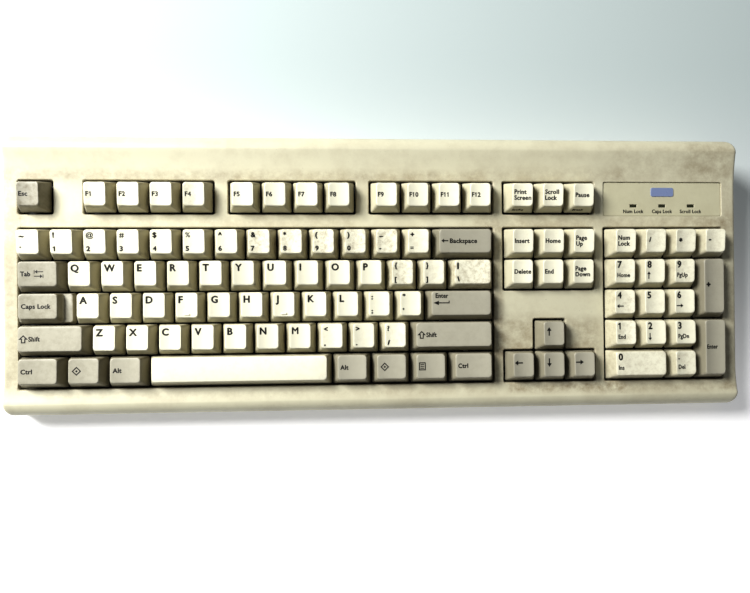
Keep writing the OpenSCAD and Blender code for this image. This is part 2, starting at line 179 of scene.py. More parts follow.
def cut(target, data, matrix=WORLD, how="DIFFERENCE"):
    return boolean(target, mesh_object("cutter", *data, matrix=matrix), how)


def levels(x0, x1, y0, y1, r, steps, k=4, shrink=1.0):
    """A solid of rounded rectangles: at each (inset, height), the corner radius less the inset times shrink."""
    return loft([raised(outline(x0 + g, x1 - g, y0 + g, y1 - g, r - shrink * g, k), z) for g, z in steps])


def smooth(ob, angle=32, weighted=True):
    for p in ob.data.polygons:
        p.use_smooth = True
    ob.data.set_sharp_from_angle(angle=math.radians(angle))
    if weighted:
        mod = ob.modifiers.new("normals", "WEIGHTED_NORMAL")
        mod.keep_sharp = True
    return ob


def joined(name, parts, matrix=WORLD):
    verts, faces = [], []
    for v, f in parts:
        base = len(verts)
        verts.extend(v)
        faces.extend(tuple(base + i for i in face) for face in f)
    return mesh_object(name, verts, faces, matrix)


def data_of(ob, matrix):
    """The mesh of a scratch object as plain lists in that frame's millimetres; the object goes."""
    back = matrix.inverted()
    verts = [tuple(back @ v.co) for v in ob.data.vertices]
    faces = [tuple(p.vertices) for p in ob.data.polygons]
    bpy.data.objects.remove(ob)
    return verts, faces


def lathe(profile, k=48, at=(0, 0, 0), axis="Z"):
    """profile is (radius, height) from one end to the other, both on the axis or a ring."""
    rings = []
    for r, h in profile:
        ring = []
        for i in range(k):
            a = 2 * math.pi * i / k
            p = (r * math.cos(a), r * math.sin(a), h)
            p = {"Z": p, "X": (p[2], p[0], p[1]), "Y": (p[0], p[2], p[1])}[axis]
            ring.append((at[0] + p[0], at[1] + p[1], at[2] + p[2]))
        rings.append(ring)
    return rings


def tube(inner, outer, k=48, at=(0, 0, 0), axis="Z"):
    """A closed ring: outer profile one way, inner profile back."""
    rings = lathe(outer + inner[::-1], k, at, axis)
    verts, faces = loft(rings, closed=False)
    count = len(rings[0])
    last = (len(rings) - 1) * count
    for j in range(count):
        faces.append((last + j, last + (j + 1) % count, (j + 1) % count, j))
    return verts, faces


def placed(data, matrix):
    return [tuple(matrix @ Vector(v)) for v in data[0]], data[1]


# ---- Materials ----

def linear(rgb):
    return tuple((c / 12.92 if c <= 0.04045 else ((c + 0.055) / 1.055) ** 2.4) for c in (v / 255 for v in rgb))


def material(name, rgb, rough=0.5, metal=0.0, mottle=0.06, scale=40.0, grain=0.12, grain_scale=2600.0,
             dirt=None, dirt_amount=0.0, dirt_scale=60.0, specks=0.0, tone=False, clear=0.0, zones=(), occlusion_shade=0.0):
    """A finish with uneven tone, fine grain in its relief and dirt, plus painted shade: brown in crevices where the
    Ambient Occlusion node finds nearby parts, and darker side walls on caps.
    """
    mat = bpy.data.materials.new(name)
    mat.use_nodes = True
    tree = mat.node_tree
    tree.nodes.clear()

    def node(kind, **values):
        n = tree.nodes.new(kind)
        for key, value in values.items():
            setattr(n, key, value)
        return n

    def link(a, b):
        tree.links.new(a, b)

    def noise(size, detail=3.0, rough_=0.55):
        n = node("ShaderNodeTexNoise")
        n.inputs["Scale"].default_value = size
        n.inputs["Detail"].default_value = detail
        n.inputs["Roughness"].default_value = rough_
        link(place.outputs["Object"], n.inputs["Vector"])
        return n.outputs["Fac"]

    def ramp(value, low, high, to_low=0.0, to_high=1.0):
        n = node("ShaderNodeMapRange")
        n.inputs["From Min"].default_value = low
        n.inputs["From Max"].default_value = high
        n.inputs["To Min"].default_value = to_low
        n.inputs["To Max"].default_value = to_high
        link(value, n.inputs["Value"])
        return n.outputs["Result"]

    def feed(socket, value):
        if isinstance(value, tuple):
            socket.default_value = (*value, 1)
        elif isinstance(value, (int, float)):
            socket.default_value = value
        else:
            link(value, socket)

    def times(a, b):
        n = node("ShaderNodeMath", operation="MULTIPLY")
        feed(n.inputs[0], a)
        feed(n.inputs[1], b)
        return n.outputs[0]

    def mix(factor, a, b):
        n = node("ShaderNodeMix", data_type="RGBA")
        for i, value in ((0, factor), (6, a), (7, b)):
            feed(n.inputs[i], value)
        return n.outputs[2]

    place = node("ShaderNodeTexCoord")
    base = linear(rgb)
    shaded = tuple(c * 0.72 for c in base)
    col = mix(ramp(noise(scale, 4.0), 0.35, 0.75, 0.0, mottle / 0.28), base, shaded)
    if tone:
        attr = node("ShaderNodeAttribute", attribute_name="tone")
        col = mix(ramp(attr.outputs["Fac"], 0, 1, 0, 0.4), col, tuple(c * 0.62 for c in base))
        # Painted shade: the side walls of caps are darkened towards olive brown by the "side" attribute, fully on walls
        # that face right and partly on the others.
        attr = node("ShaderNodeAttribute", attribute_name="side")
        col = mix(attr.outputs["Fac"], col, tuple(c * k for c, k in zip(base, (0.45, 0.42, 0.34))))
    if dirt is not None:
        brown = linear(dirt)
        mask = ramp(noise(dirt_scale, 9.0, 0.72), 0.44, 0.8)
        if tone:
            attr = node("ShaderNodeAttribute", attribute_name="grime")
            mask = times(mask, attr.outputs["Fac"])
        col = mix(times(mask, dirt_amount), col, brown)
        if zones or occlusion_shade:
            split = node("ShaderNodeSeparateXYZ")
            link(place.outputs["Object"], split.inputs[0])
        for x0, x1, s0, s1, soft, amount in zones:
            x0, x1, soft = x0 * MM, x1 * MM, soft * MM
            y0, y1 = (DECK @ Vector((0, s0, 0))).y, (DECK @ Vector((0, s1, 0))).y
            area = times(times(ramp(split.outputs["X"], x0 - soft, x0), ramp(split.outputs["X"], x1, x1 + soft, 1, 0)),
                         times(ramp(split.outputs["Y"], y0 - soft, y0), ramp(split.outputs["Y"], y1, y1 + soft, 1, 0)))
            cloud = ramp(noise(dirt_scale * 4.5, 10.0, 0.75), 0.36, 0.68)
            col = mix(times(times(area, cloud), amount), col, brown)
        # Painted shade: brown darkening where the Ambient Occlusion node finds parts within 6 mm, in crevices and along
        # the wells, broken up by noise like grime.
        if occlusion_shade:
            near = node("ShaderNodeAmbientOcclusion", samples=4, only_local=False)
            near.inputs["Distance"].default_value = 0.006
            occlusion_shade_mask = ramp(near.outputs["AO"], 0.92, 0.45, 0.0, occlusion_shade)
            col = mix(times(occlusion_shade_mask, ramp(noise(dirt_scale * 1.5, 5.0, 0.6), 0.25, 0.6, 0.35, 1.0)), col, brown)
    if specks:
        spots = ramp(noise(1400.0, 1.0), 0.74, 0.77, 0, specks)
        patch = ramp(noise(90.0, 2.0), 0.45, 0.6)
        col = mix(times(spots, patch), col, tuple(c * 0.25 for c in base))
    shader = node("ShaderNodeBsdfPrincipled")
    link(col, shader.inputs["Base Color"])
    link(ramp(noise(scale * 2.3, 3.0), 0.3, 0.7, rough - 0.05, rough + 0.07), shader.inputs["Roughness"])
    shader.inputs["Metallic"].default_value = metal
    shader.inputs["Coat Weight"].default_value = clear
    bump = node("ShaderNodeBump")
    bump.inputs["Strength"].default_value = grain
    bump.inputs["Distance"].default_value = 0.0001
    link(noise(grain_scale, 2.0), bump.inputs["Height"])
    link(bump.outputs["Normal"], shader.inputs["Normal"])
    out = node("ShaderNodeOutputMaterial")
    link(shader.outputs["BSDF"], out.inputs["Surface"])
    return mat


# Stained areas of the deck: left, right, front, rear, softness and strength.
STAINS = (
    (-212, 60, 126, 128.5, 4, 0.5), (60, 150, 126, 130, 5, 0.34), (-216, -20, 99, 101, 5, 0.3),
    (-224, -216, 0, 130, 5, 0.4),
    (150, 219, 130, 143, 9, 0.3), (196, 222, 100, 150, 7, 0.3), (219, 224, -5, 100, 5, 0.5), (74, 96, 20, 36, 8, 0.55),
    (119, 134, 20, 35, 7, 0.55), (80, 150, -5, -2, 4, 0.8), (-200, 70, -6, -3, 4, 0.3), (68, 74, 0, 95, 3, 0.6),
    (60, 219, 97, 101, 4, 0.4), (136, 220, -6, -3, 4, 0.5),
)
# The case gets real stains in its zones and painted shade in its crevices.
CREAM = material("cream_case", (207, 204, 180), 0.47, mottle=0.05, scale=14.0, dirt=(118, 98, 66), dirt_amount=0.3,
                 dirt_scale=34.0, specks=0.5, grain=0.25, grain_scale=1500.0, zones=STAINS, occlusion_shade=0.35)
BASE = material("base_case", (202, 198, 172), 0.52, mottle=0.04, scale=14.0, dirt=(120, 105, 70),
                dirt_amount=0.1, specks=0.5, grain=0.25, grain_scale=1500.0)
PANEL = material("panel", (198, 195, 168), 0.38, mottle=0.04, scale=20.0, dirt=(120, 108, 76), dirt_amount=0.2)
BADGE = material("badge", (128, 142, 178), 0.28, mottle=0.05, scale=80.0, grain=0.04, clear=0.4)
WINDOW = material("window", (44, 46, 26), 0.16, mottle=0.05, grain=0.02, clear=0.6)
LED = material("led", (150, 190, 110), 0.25, mottle=0.04)
PLATE = material("plate", (58, 60, 60), 0.42, 0.6, scale=60.0, mottle=0.1)
SWITCH = material("switch_dark", (34, 36, 39), 0.4, scale=90.0)
COVER = material("switch_cover", (56, 59, 64), 0.35, scale=90.0)
SPRING = material("spring", (190, 192, 196), 0.28, 0.9, scale=200.0)
BRASS = material("brass", (190, 152, 78), 0.32, 0.9, scale=200.0)
CLIP = material("clip", (226, 224, 212), 0.4)
BOARD = material("board", (38, 92, 56), 0.4, scale=60.0, mottle=0.12, clear=0.3)
CHIP = material("chip", (34, 36, 40), 0.5)
GLAND_MAT = material("gland", (48, 46, 42), 0.7, grain=0.3)
RUBBER = material("rubber", (38, 37, 35), 0.8, grain=0.35, grain_scale=1200.0)
STEEL = material("steel", (150, 150, 146), 0.34, 0.9, scale=150.0)
KEY_CREAM = material("key_cream", (242, 240, 218), 0.4, mottle=0.03, scale=60.0, dirt=(120, 98, 52),
                     dirt_amount=0.55, dirt_scale=300.0, specks=0.25, tone=True, grain=0.18, grain_scale=2200.0)
KEY_GREY = material("key_grey", (180, 177, 160), 0.42, mottle=0.05, scale=60.0, dirt=(92, 80, 50),
                    dirt_amount=0.55, dirt_scale=230.0, specks=0.3, tone=True, grain=0.18, grain_scale=2200.0)
PLUNGER = material("plunger", (48, 74, 140), 0.35, mottle=0.04)
INK = material("ink", (20, 19, 17), 0.5, mottle=0.08, scale=300.0, grain=0.02)


def floor_material():
    """A pale backdrop, white in front and a little cooler and darker behind; it glows in its own colour, more in front,
    as painted light.
    """
    mat = bpy.data.materials.new("floor")
    mat.use_nodes = True
    tree = mat.node_tree
    shader = tree.nodes["Principled BSDF"]
    place = tree.nodes.new("ShaderNodeTexCoord")
    split = tree.nodes.new("ShaderNodeSeparateXYZ")

    def over_y(*values):
        n = tree.nodes.new("ShaderNodeMapRange")
        n.interpolation_type = "SMOOTHSTEP"
        for key, value in zip(("From Min", "From Max", "To Min", "To Max"), values):
            n.inputs[key].default_value = value
        tree.links.new(split.outputs["Y"], n.inputs["Value"])
        return n.outputs["Result"]

    tree.links.new(place.outputs["Object"], split.inputs[0])
    mix = tree.nodes.new("ShaderNodeMix")
    mix.data_type = "RGBA"
    mix.inputs[6].default_value = (0.95, 0.95, 0.96, 1)
    mix.inputs[7].default_value = (0.43, 0.49, 0.49, 1)
    tree.links.new(over_y(-0.12, 0.16, 0.0, 1.0), mix.inputs[0])
    tree.links.new(mix.outputs[2], shader.inputs["Base Color"])
    # Painted light: the floor glows in its own colour, more strongly in front than behind.
    tree.links.new(mix.outputs[2], shader.inputs["Emission Color"])
    tree.links.new(over_y(-0.16, 0.05, 0.42, 0.15), shader.inputs["Emission Strength"])
    shader.inputs["Roughness"].default_value = 0.8
    return mat


FLOOR = floor_material()


def finish_piece(ob, mat, slot, body, *replaced):
    ob.data.materials.clear()
    ob.data.materials.append(mat)
    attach(ob, body)
    if replaced:
        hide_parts(*replaced)
    return ob


# ---- Case ----

NOSE_R, ROLL_R, CORNER = 7.8, 8.8, 5.0
NOSE_S, CREST_S, FLAT_FROM, FLAT_TO = -9.0, 143.2, 8.0, 118.0
LIP, CREST = 2.2, 2.6
TILT_DEG = math.degrees(TILT)


def rise(s):
    """Height of the case's surface over the flat of the deck."""
    if s < FLAT_FROM:
        t = max(0.0, (s - NOSE_S) / (FLAT_FROM - NOSE_S))
        return LIP * (1 - t) ** 2
    if s > FLAT_TO:
        t = min(1.0, (s - FLAT_TO) / (CREST_S - FLAT_TO))
        return CREST * t * t
    return 0.0


def side_line(inset, fine=True):
    """(y, z, normal y, normal z) along the top of the case in side view, front to rear, in millimetres."""
    n_arc, n_curve = (14, 9) if fine else (6, 4)
    line = []
    for i in range(n_arc + 1):
        a = math.radians(180 - TILT_DEG + (90 - 180 + TILT_DEG) * i / n_arc)
        line.append((NOSE_S + NOSE_R * math.cos(a), LIP - NOSE_R + NOSE_R * math.sin(a), math.cos(a), math.sin(a)))
    for i in range(1, n_curve + 1):
        s = NOSE_S + (FLAT_FROM - NOSE_S) * i / n_curve
        slope = -2 * LIP * (1 - i / n_curve) / (FLAT_FROM - NOSE_S)
        m = math.hypot(1, slope)
        line.append((s, rise(s), -slope / m, 1 / m))
    for i in range(1, 6):
        s = FLAT_FROM + (FLAT_TO - FLAT_FROM) * i / 6
        line.append((s, 0, 0, 1))
    for i in range(n_curve):
        s = FLAT_TO + (CREST_S - FLAT_TO) * i / n_curve
        slope = 2 * CREST * (i / n_curve) / (CREST_S - FLAT_TO)
        m = math.hypot(1, slope)
        line.append((s, rise(s), -slope / m, 1 / m))
    for i in range(n_arc + 1):
        a = math.radians(90 + (-TILT_DEG - 90) * i / n_arc)
        line.append((CREST_S + ROLL_R * math.cos(a), CREST - ROLL_R + ROLL_R * math.sin(a), math.cos(a), math.sin(a)))
    c, d = math.cos(TILT), math.sin(TILT)
    out = []
    for s, n, ns, nn in line:
        s, n = s - ns * inset, n - nn * inset
        out.append((s * c - n * d + DECK_Y, s * d + n * c + DECK_Z, ns * c - nn * d, ns * d + nn * c))
    return out


EDGE = 2.6


def case_solid(name, inset, low, corner, edge, fine=True):
    """The case's outside, or its hollow: the side view drawn across the width, ends rounded in plan and at the edge."""
    line = side_line(inset, fine)
    lows = [low] if not fine else [low, low + 0.35]
    ends = [(line[0][0] + (0.3 if i == 0 and fine else 0), z, -1, 0) for i, z in enumerate(lows)]
    ends2 = [(line[-1][0] - (0.3 if i == 0 and fine else 0), z, 1, 0) for i, z in enumerate(lows)]
    profile = ends + line + ends2[::-1]
    half = WIDTH / 2 - inset
    steps = 8 if fine else 4
    stations = []
    for i in range(steps + 1):
        a = math.radians(90 * i / steps)
        e = corner * (1 - math.sin(a))
        top = edge - math.sqrt(max(0, edge ** 2 - (edge - e) ** 2)) if e < edge else 0
        stations.append((half - e, corner * (1 - math.cos(a)), top))
    if fine:
        extra = []
        for j in range(1, 5):
            e = edge * (1 - math.cos(math.radians(90 * j / 5)))
            a = math.asin(max(-1, min(1, 1 - e / corner)))
            extra.append((half - e, corner * (1 - math.cos(a)), edge - math.sqrt(max(0, edge ** 2 - (edge - e) ** 2))))
        stations = sorted(set(stations + extra))
    rings = []
    for x, plan_in, top_in in [(-s[0], s[1], s[2]) for s in reversed(stations)] + stations:
        rings.append([(x, y - ny * plan_in, z - max(0, nz) * top_in) for y, z, ny, nz in profile])
    return mesh_object(name, *loft(rings))


def well_outline(cells, grow, r, step=4.0):
    """A closed outline around cells = corner points in key pitches, grown outwards, its corners rounded."""
    k = 6
    pts = [(LEFT + p[0] * PITCH, p[1] * PITCH) for p in cells]
    out, grown, n = [], [], len(pts)
    for i in range(n):
        p0, p1, p2 = pts[i - 1], pts[i], pts[(i + 1) % n]
        e1 = Vector((p1[0] - p0[0], p1[1] - p0[1])).normalized()
        e2 = Vector((p2[0] - p1[0], p2[1] - p1[1])).normalized()
        n1, n2 = Vector((e1.y, -e1.x)), Vector((e2.y, -e2.x))
        grown.append((Vector(p1) + grow * (n1 + n2), e1, e2))
    for i, (v, e1, e2) in enumerate(grown):
        centre = v - r * e1 + r * e2
        for j in range(k + 1):
            a = math.radians(90 * j / k)
            p = centre - r * e2 * math.cos(a) + r * e1 * math.sin(a)
            out.append((p.x, p.y))
        nxt, way, _ = grown[(i + 1) % n]
        here, there = v + r * e2, nxt - r * way
        count = max(0, int(round((there - here).length / step)) - 1)
        count = grown_counts.setdefault((tuple(cells), i), count)
        for j in range(count):
            p = here + (there - here) * (j + 1) / (count + 1)
            out.append((p.x, p.y))
    return out


grown_counts = {}
NAV = 15.375
PAD = NAV + 3.375


def rect(x, y, w, d):
    return ((x, y), (x + w, y), (x + w, y + d), (x, y + d))


WELLS = [rect(0, 0, 15, 5), rect(0, 5.5, 1, 1), rect(2, 5.5, 4, 1), rect(6.5, 5.5, 4, 1), rect(11, 5.5, 4, 1),
         rect(NAV, 5.5, 3, 1), rect(NAV, 3, 3, 2), rect(PAD, 0, 4, 5),
         ((NAV, 0), (NAV + 3, 0), (NAV + 3, 1), (NAV + 2, 1), (NAV + 2, 2), (NAV + 1, 2), (NAV + 1, 1), (NAV, 1))]
MARGIN, RIM, WELL_R = 0.74, 0.85, 1.3


def well_cutter(cells):
    rings = [raised(well_outline(cells, MARGIN, WELL_R), -22)]
    for t in (0, 20, 40, 60, 78):
        a = math.radians(t)
        grow = MARGIN + RIM * (1 - math.cos(a))
        points = well_outline(cells, grow, WELL_R + RIM * (1 - math.cos(a)))
        rings.append([(x, y, rise(y) - RIM * (1 - math.sin(a))) for x, y in points])
    points = well_outline(cells, MARGIN + RIM * 1.05, WELL_R + RIM * 1.05)
    rings.append([(x, y, rise(y) + 0.25) for x, y in points])
    rings.append(raised(points, 14))
    return loft(rings)


case = case_solid("case_top", 0, PARTING, CORNER, EDGE)
hollow = case_solid("hollow", 2.5, PARTING - 1, 2.5, 1.0, fine=False)
for cells in WELLS:
    cut(hollow, loft([raised(well_outline(cells, MARGIN + 1.5, 2.6, 40), z) for z in (-7.2, 8)]), DECK)
boolean(case, hollow)
for cells in WELLS:
    cut(case, well_cutter(cells), DECK)

panel_low, panel_high = deck_box("indicator_panel")
recess = [(panel_low[0] - 0.15, panel_high[0] + 0.15), (panel_low[1] - 0.15, panel_high[1] + 0.15)]
rings = []
for grow, z in ((0, -1.6), (0, -0.45), (0.07, -0.2), (0.22, -0.044), (0.4, 0.0), (0.75, 0.6)):
    pts = outline(recess[0][0] - grow, recess[0][1] + grow, recess[1][0] - grow, recess[1][1] + grow, 1 + grow, 4, 0, 8)
    rings.append([(x, y, z + (rise(y) if z > -1 else 0)) for x, y in pts])
cut(case, loft(rings), DECK)
window_low, window_high = deck_box("led_windows")
WINDOW_W = 4.4
WINDOW_Y = (window_low[1] + window_high[1]) / 2
WINDOW_X = [window_low[0] + WINDOW_W / 2, (window_low[0] + window_high[0]) / 2, window_high[0] - WINDOW_W / 2]
for x in WINDOW_X:
    cut(case, levels(x - 2.3, x + 2.3, WINDOW_Y - 0.95, WINDOW_Y + 0.95, 0.3, ((0, -6), (0, 1)), 3), DECK)
gland_low, gland_high = mm_box("cable_gland")
GLAND = ((gland_low[0] + gland_high[0]) / 2, gland_high[1], (gland_low[2] + gland_high[2]) / 2)
cut(case, loft(lathe([(4.55, -6), (4.55, 3)], 48, GLAND, "Y")))
c, d = math.cos(TILT), math.sin(TILT)
CASE_SCREWS = [(x, s * c + DECK_Y) for x in (-150, -50, 50, 150) for s in (-10, 141)]
bosses = [data_of(case, WORLD)]
UNDER = side_line(1.6)


def height_at(y):
    for (y0, z0, _, _), (y1, z1, _, _) in zip(UNDER, UNDER[1:]):
        if y0 <= y <= y1:
            return z0 + (z1 - z0) * (y - y0) / max(y1 - y0, 1e-6)
    return UNDER[-1][1]


for x, y in CASE_SCREWS:
    top = min(height_at(y + t) for t in (-3, 0, 3))
    bosses.append(tube([(1.3, 5.6), (1.3, 14.5)], [(2.9, 5.6), (3, 5.8), (3, top), (1.3, top)], 24, (x, y, 0)))
case = joined("case_top", bosses)
smooth(case, 38)
finish_piece(case, CREAM, "case_plastic", "case", "top_case")


def base_ring(inset, z, r):
    return raised(outline(-WIDTH / 2 + inset, WIDTH / 2 - inset, -DEPTH / 2 + inset, DEPTH / 2 - inset, r, 8), z)


BASE_LOW = mm_box("bottom_case")[0][2]
rings = [base_ring(1.4, BASE_LOW, 3.6), base_ring(0.95, BASE_LOW + 0.08, 4.05), base_ring(0.42, BASE_LOW + 0.42, 4.6),
         base_ring(0.08, BASE_LOW + 0.95, 4.9), base_ring(0, BASE_LOW + 1.4, 5), base_ring(0, PARTING - 0.4, 5),
         base_ring(0.12, PARTING - 0.12, 4.9), base_ring(0.3, PARTING, 4.7)]
bottom = mesh_object("case_bottom", *loft(rings))
cut(bottom, loft([base_ring(2.5, BASE_LOW + 2.2, 2.5), base_ring(2.5, PARTING + 5, 2.5)]))
foot_low, foot_high = mm_box("right_tilt_foot")
PIVOT_Y = foot_high[1] - 2.1
PIVOT_Z = (foot_low[2] + foot_high[2]) / 2
FOOT_X = (foot_low[0] + foot_high[0]) / 2
for side in (-1, 1):
    x0, y0 = side * FOOT_X - 16.5, PIVOT_Y + 4 - 30
    cut(bottom, levels(x0 - 2, x0 + 35, y0 - 2, y0 + 32, 2.5, ((0, BASE_LOW + 1), (0, BASE_LOW + 9))), how="UNION")
for x, y in CASE_SCREWS:
    cut(bottom, loft(lathe([(4.2, BASE_LOW + 1), (4.2, BASE_LOW + 3.4)], 32, (x, y, 0))), how="UNION")
for side in (-1, 1):
    x0, y0 = side * FOOT_X - 16.5, PIVOT_Y + 4 - 30
    cut(bottom, levels(x0, x0 + 33, y0, y0 + 30, 1.2, ((-0.6, BASE_LOW - 1), (-0.6, BASE_LOW), (-0.18, BASE_LOW + 0.18),
                                                       (0, BASE_LOW + 0.6), (0, BASE_LOW + 7))))
    pin = [(1.58, side * FOOT_X - 19.5), (1.58, side * FOOT_X + 19.5)]
    cut(bottom, loft(lathe(pin, 32, (0, PIVOT_Y, PIVOT_Z), "X")))
for x, y in CASE_SCREWS:
    cut(bottom, loft(lathe([(3.4, 1), (3.4, BASE_LOW), (3.0, BASE_LOW + 0.4), (3.0, BASE_LOW + 2), (1.5, BASE_LOW + 2),
                            (1.5, 20)], 32, (x, y, 0))))
parts = [data_of(bottom, WORLD)]
PLATE_SCREWS = [(x, s) for x in (-207, -100, 0, 100, 207) for s in (-6, 129.5)]
for x, s in PLATE_SCREWS:
    length = (BASE_LOW + 1.5 - DECK_Z - s * math.sin(TILT)) / math.cos(TILT)
    post = tube([(1.25, length), (1.25, -9.1)], [(3, length), (3, -9.4), (2.8, -9.1)], 24, (x, s, 0))
    parts.append(([tuple((DECK @ Vector(v)) / MM) for v in post[0]], post[1]))
bottom = smooth(joined("case_bottom", parts), 38)
finish_piece(bottom, BASE, "base_plastic", "case", "bottom_case")

# ---- Panel, windows, badge ----

sides = panel_low[0], panel_high[0], panel_low[1], panel_high[1]
panel = mesh_object("panel", *levels(*sides, 1, ((0.15, -1.6), (0, -1.45), (0, -0.85), (0.08, -0.68), (0.25, -0.6)),
                                     shrink=0.5), matrix=DECK)
for x in WINDOW_X:
    cut(panel, levels(x - 2.3, x + 2.3, WINDOW_Y - 0.95, WINDOW_Y + 0.95, 0.25,
                      ((0, -3), (0, -0.8), (-0.12, -0.65), (-0.25, -0.5)), 3), DECK)
smooth(panel, 30)
finish_piece(panel, PANEL, "panel_plastic", "case", "indicator_panel")

parts = [levels(x - 2.2, x + 2.2, WINDOW_Y - 0.85, WINDOW_Y + 0.85, 0.2,
                ((0, -2.6), (0, -0.95), (0.06, -0.86), (0.2, -0.82)), 3, 0) for x in WINDOW_X]
windows = smooth(joined("windows", parts, DECK), 40)
finish_piece(windows, WINDOW, "window_dark", "case", "led_windows")

low, high = deck_box("badge")
steps = (0, -0.6), (0, -0.38), (0.1, -0.27), (0.3, -0.215), (0.45, -0.205), (0.5, -0.24), (0.62, -0.25)
badge = mesh_object("blank_badge", *levels(low[0], high[0], low[1], high[1], 1.2, steps, 6, 0.9), matrix=DECK)
smooth(badge, 50)
finish_piece(badge, BADGE, "badge_blue", "case", "badge")

# ---- Gland, feet, screws ----

gx, gy, gz = GLAND
depth = gland_high[1] - gland_low[1]
rings = tube([(2.4, -depth), (2.4, -0.6), (2.55, -0.25), (2.9, 0)],
             [(4.5, -depth), (4.5, -4.1), (6.5, -4.1), (6.5, -2.6), (4.5, -2.6), (4.5, -0.5), (4.35, -0.15), (4.0, 0)],
             48, (gx, gy, gz), "Y")
gland = smooth(mesh_object("cable_inlet", *rings), 35)
finish_piece(gland, GLAND_MAT, "gland_rubber", "case", "cable_gland")

low, high = mm_box("rubber_feet")
parts = []
for x in (low[0] + 6, high[0] - 6):
    for y in (low[1] + 6, high[1] - 6):
        rings = lathe([(4.4, high[2]), (6, high[2]), (6, low[2] + 0.55), (5.8, low[2] + 0.18), (5.4, low[2]),
                       (3.4, low[2]), (3.2, low[2] + 0.12), (1.2, low[2] + 0.15)], 48, (x, y, 0))
        parts.append(loft(rings))
feet = smooth(joined("desk_feet", parts), 35)
finish_piece(feet, RUBBER, "foot_rubber", "case", "rubber_feet")

for side, name in ((-1, "left_tilt_foot"), (1, "right_tilt_foot")):
    low, high = mm_box(name)
    x = (low[0] + high[0]) / 2
    half = (high[0] - low[0]) / 2 - 3
    length = PIVOT_Y - low[1]
    profile = []
    for i in range(13):
        a = math.radians(90 - 180 * i / 12)
        profile.append((2.1 * math.cos(a), 2.1 * math.sin(a)))
    profile += [(-length + 1.4, -2.1), (-length + 0.4, -1.75), (-length, -1.0), (-length, 1.0), (-length + 0.4, 1.75),
                (-length + 1.4, 2.1)]
    rings = []
    for e, g in ((0, 0.5), (0.12, 0.22), (0.35, 0.06), (0.6, 0)):
        rings.append([(-half + e, y * (1 - g / 12), z * (1 - g / 2.1)) for y, z in profile])
    rings += [[(-v[0], v[1], v[2]) for v in ring] for ring in reversed(rings)]
    body = mesh_object("foot", [(x + v[0], PIVOT_Y + v[1], PIVOT_Z + v[2]) for v in loft(rings)[0]], loft(rings)[1])
    for i in range(4):
        y = PIVOT_Y - length + 4.2 + 1.9 * i
        cut(body, loft(lathe([(0.5, x - 11), (0.5, x + 11)], 12, (0, y, PIVOT_Z - 2.25), "X")))
    cut(body, levels(x - 10, x + 10, PIVOT_Y - 12.5, PIVOT_Y - 4.5, 1.2, ((0, PIVOT_Z + 0.6), (0, PIVOT_Z + 4))))
    pins = [data_of(body, WORLD)]
    for end in (-1, 1):
        pins.append(loft(lathe([(1.5, end * (half - 1)), (1.5, end * (half + 2.7)), (1.25, end * (half + 3))], 24,
                               (x, PIVOT_Y, PIVOT_Z), "X")))
    foot = smooth(joined(name + "_body", pins), 35)
    finish_piece(foot, BASE, "base_plastic", name, name)


def screw_data():
    """One self-tapping screw: its seat at 0, its head below and its shank above."""
    head = mesh_object("head", *loft(lathe(
        [(1.6, -1.8), (2.3, -1.62), (2.62, -1.25), (2.7, -0.8), (2.7, -0.1), (2.6, 0), (1.3, 0), (1.2, 0.2)]
        + [(r, 0.6 + 0.45 * i + dz) for i in range(18) for r, dz in ((1.0, 0), (1.2, 0.2))]
        + [(0.9, 9.2), (0.3, 10)], 24)))
    for turn in (0, 90):
        rings = []
        for half, z in ((1.55, -2.2), (1.35, -1.6), (0.5, -0.6)):
            pts = [(-half, -0.32), (half, -0.32), (half, 0.32), (-half, 0.32)]
            a = math.radians(turn)
            c, d = math.cos(a), math.sin(a)
            rings.append([(px * c - py * d, px * d + py * c, z) for px, py in pts])
        cut(head, loft(rings))
    return data_of(head, WORLD)


SCREW = screw_data()
parts = [placed(SCREW, Matrix.Translation((x, y, BASE_LOW + 2)) @ Matrix.Rotation(0.3 * i, 4, "Z"))
         for i, (x, y) in enumerate(CASE_SCREWS)]
to_mm = Matrix.Scale(1 / MM, 4) @ DECK
for i, (x, s) in enumerate(PLATE_SCREWS):
    parts.append(placed(SCREW, to_mm @ Matrix.Translation((x, s, -7.5)) @ Matrix.Rotation(math.pi, 4, "X")
                        @ Matrix.Rotation(0.7 * (i // 2), 4, "Z")))
screws = smooth(joined("case_screws", parts), 35)
finish_piece(screws, STEEL, "screw_steel", "case", "screws")

# ---- Pieces inside, which keep the modelled shape ----

INNER = {"leds": (LED, "led_green"), "mounting_plate": (PLATE, "plate_steel"), "switch_bases": (SWITCH, "switch_black"),
         "switch_covers": (COVER, "switch_grey"),
         "switch_contacts": (BRASS, "contact_brass"), "stabiliser_clips": (CLIP, "clip_plastic"),
         "circuit_board": (BOARD, "board_green"), "board_parts": (CHIP, "chip_black")}
for name in NODES:
    if name.endswith("_wire"):
        INNER[name] = (SPRING, "spring_steel")
for name, (mat, slot) in INNER.items():
    ob = NODES[name]
    ob.data.materials.clear()
    ob.data.materials.append(mat)
    for p in ob.data.polygons:
        p.use_smooth = True
    ob.data.set_sharp_from_angle(angle=math.radians(40))

# ---- Keycaps ----

# By row from the front: height, front and rear lean, slope of the top.
ROW_START = (0, 1, 2, 3, 4, 5.5)
ROW_HEIGHT = (9.6, 9.7, 8.9, 9.2, 10.7, 10.5)
ROW_SLOPE = (-2, -2, 0, 2, 4, 4)
ROW_FRONT = (3.1, 3.1, 3.1, 3.1, 2.9, 2.7)
ROW_REAR = (0.3, 0.3, 0.3, 0.4, 0.9, 1.5)
SIDE, DISH, WALL, FILLET, SKIRT = 2.7, 0.8, 1.3, 0.62, -1.0
STEM_LOW = -2.6


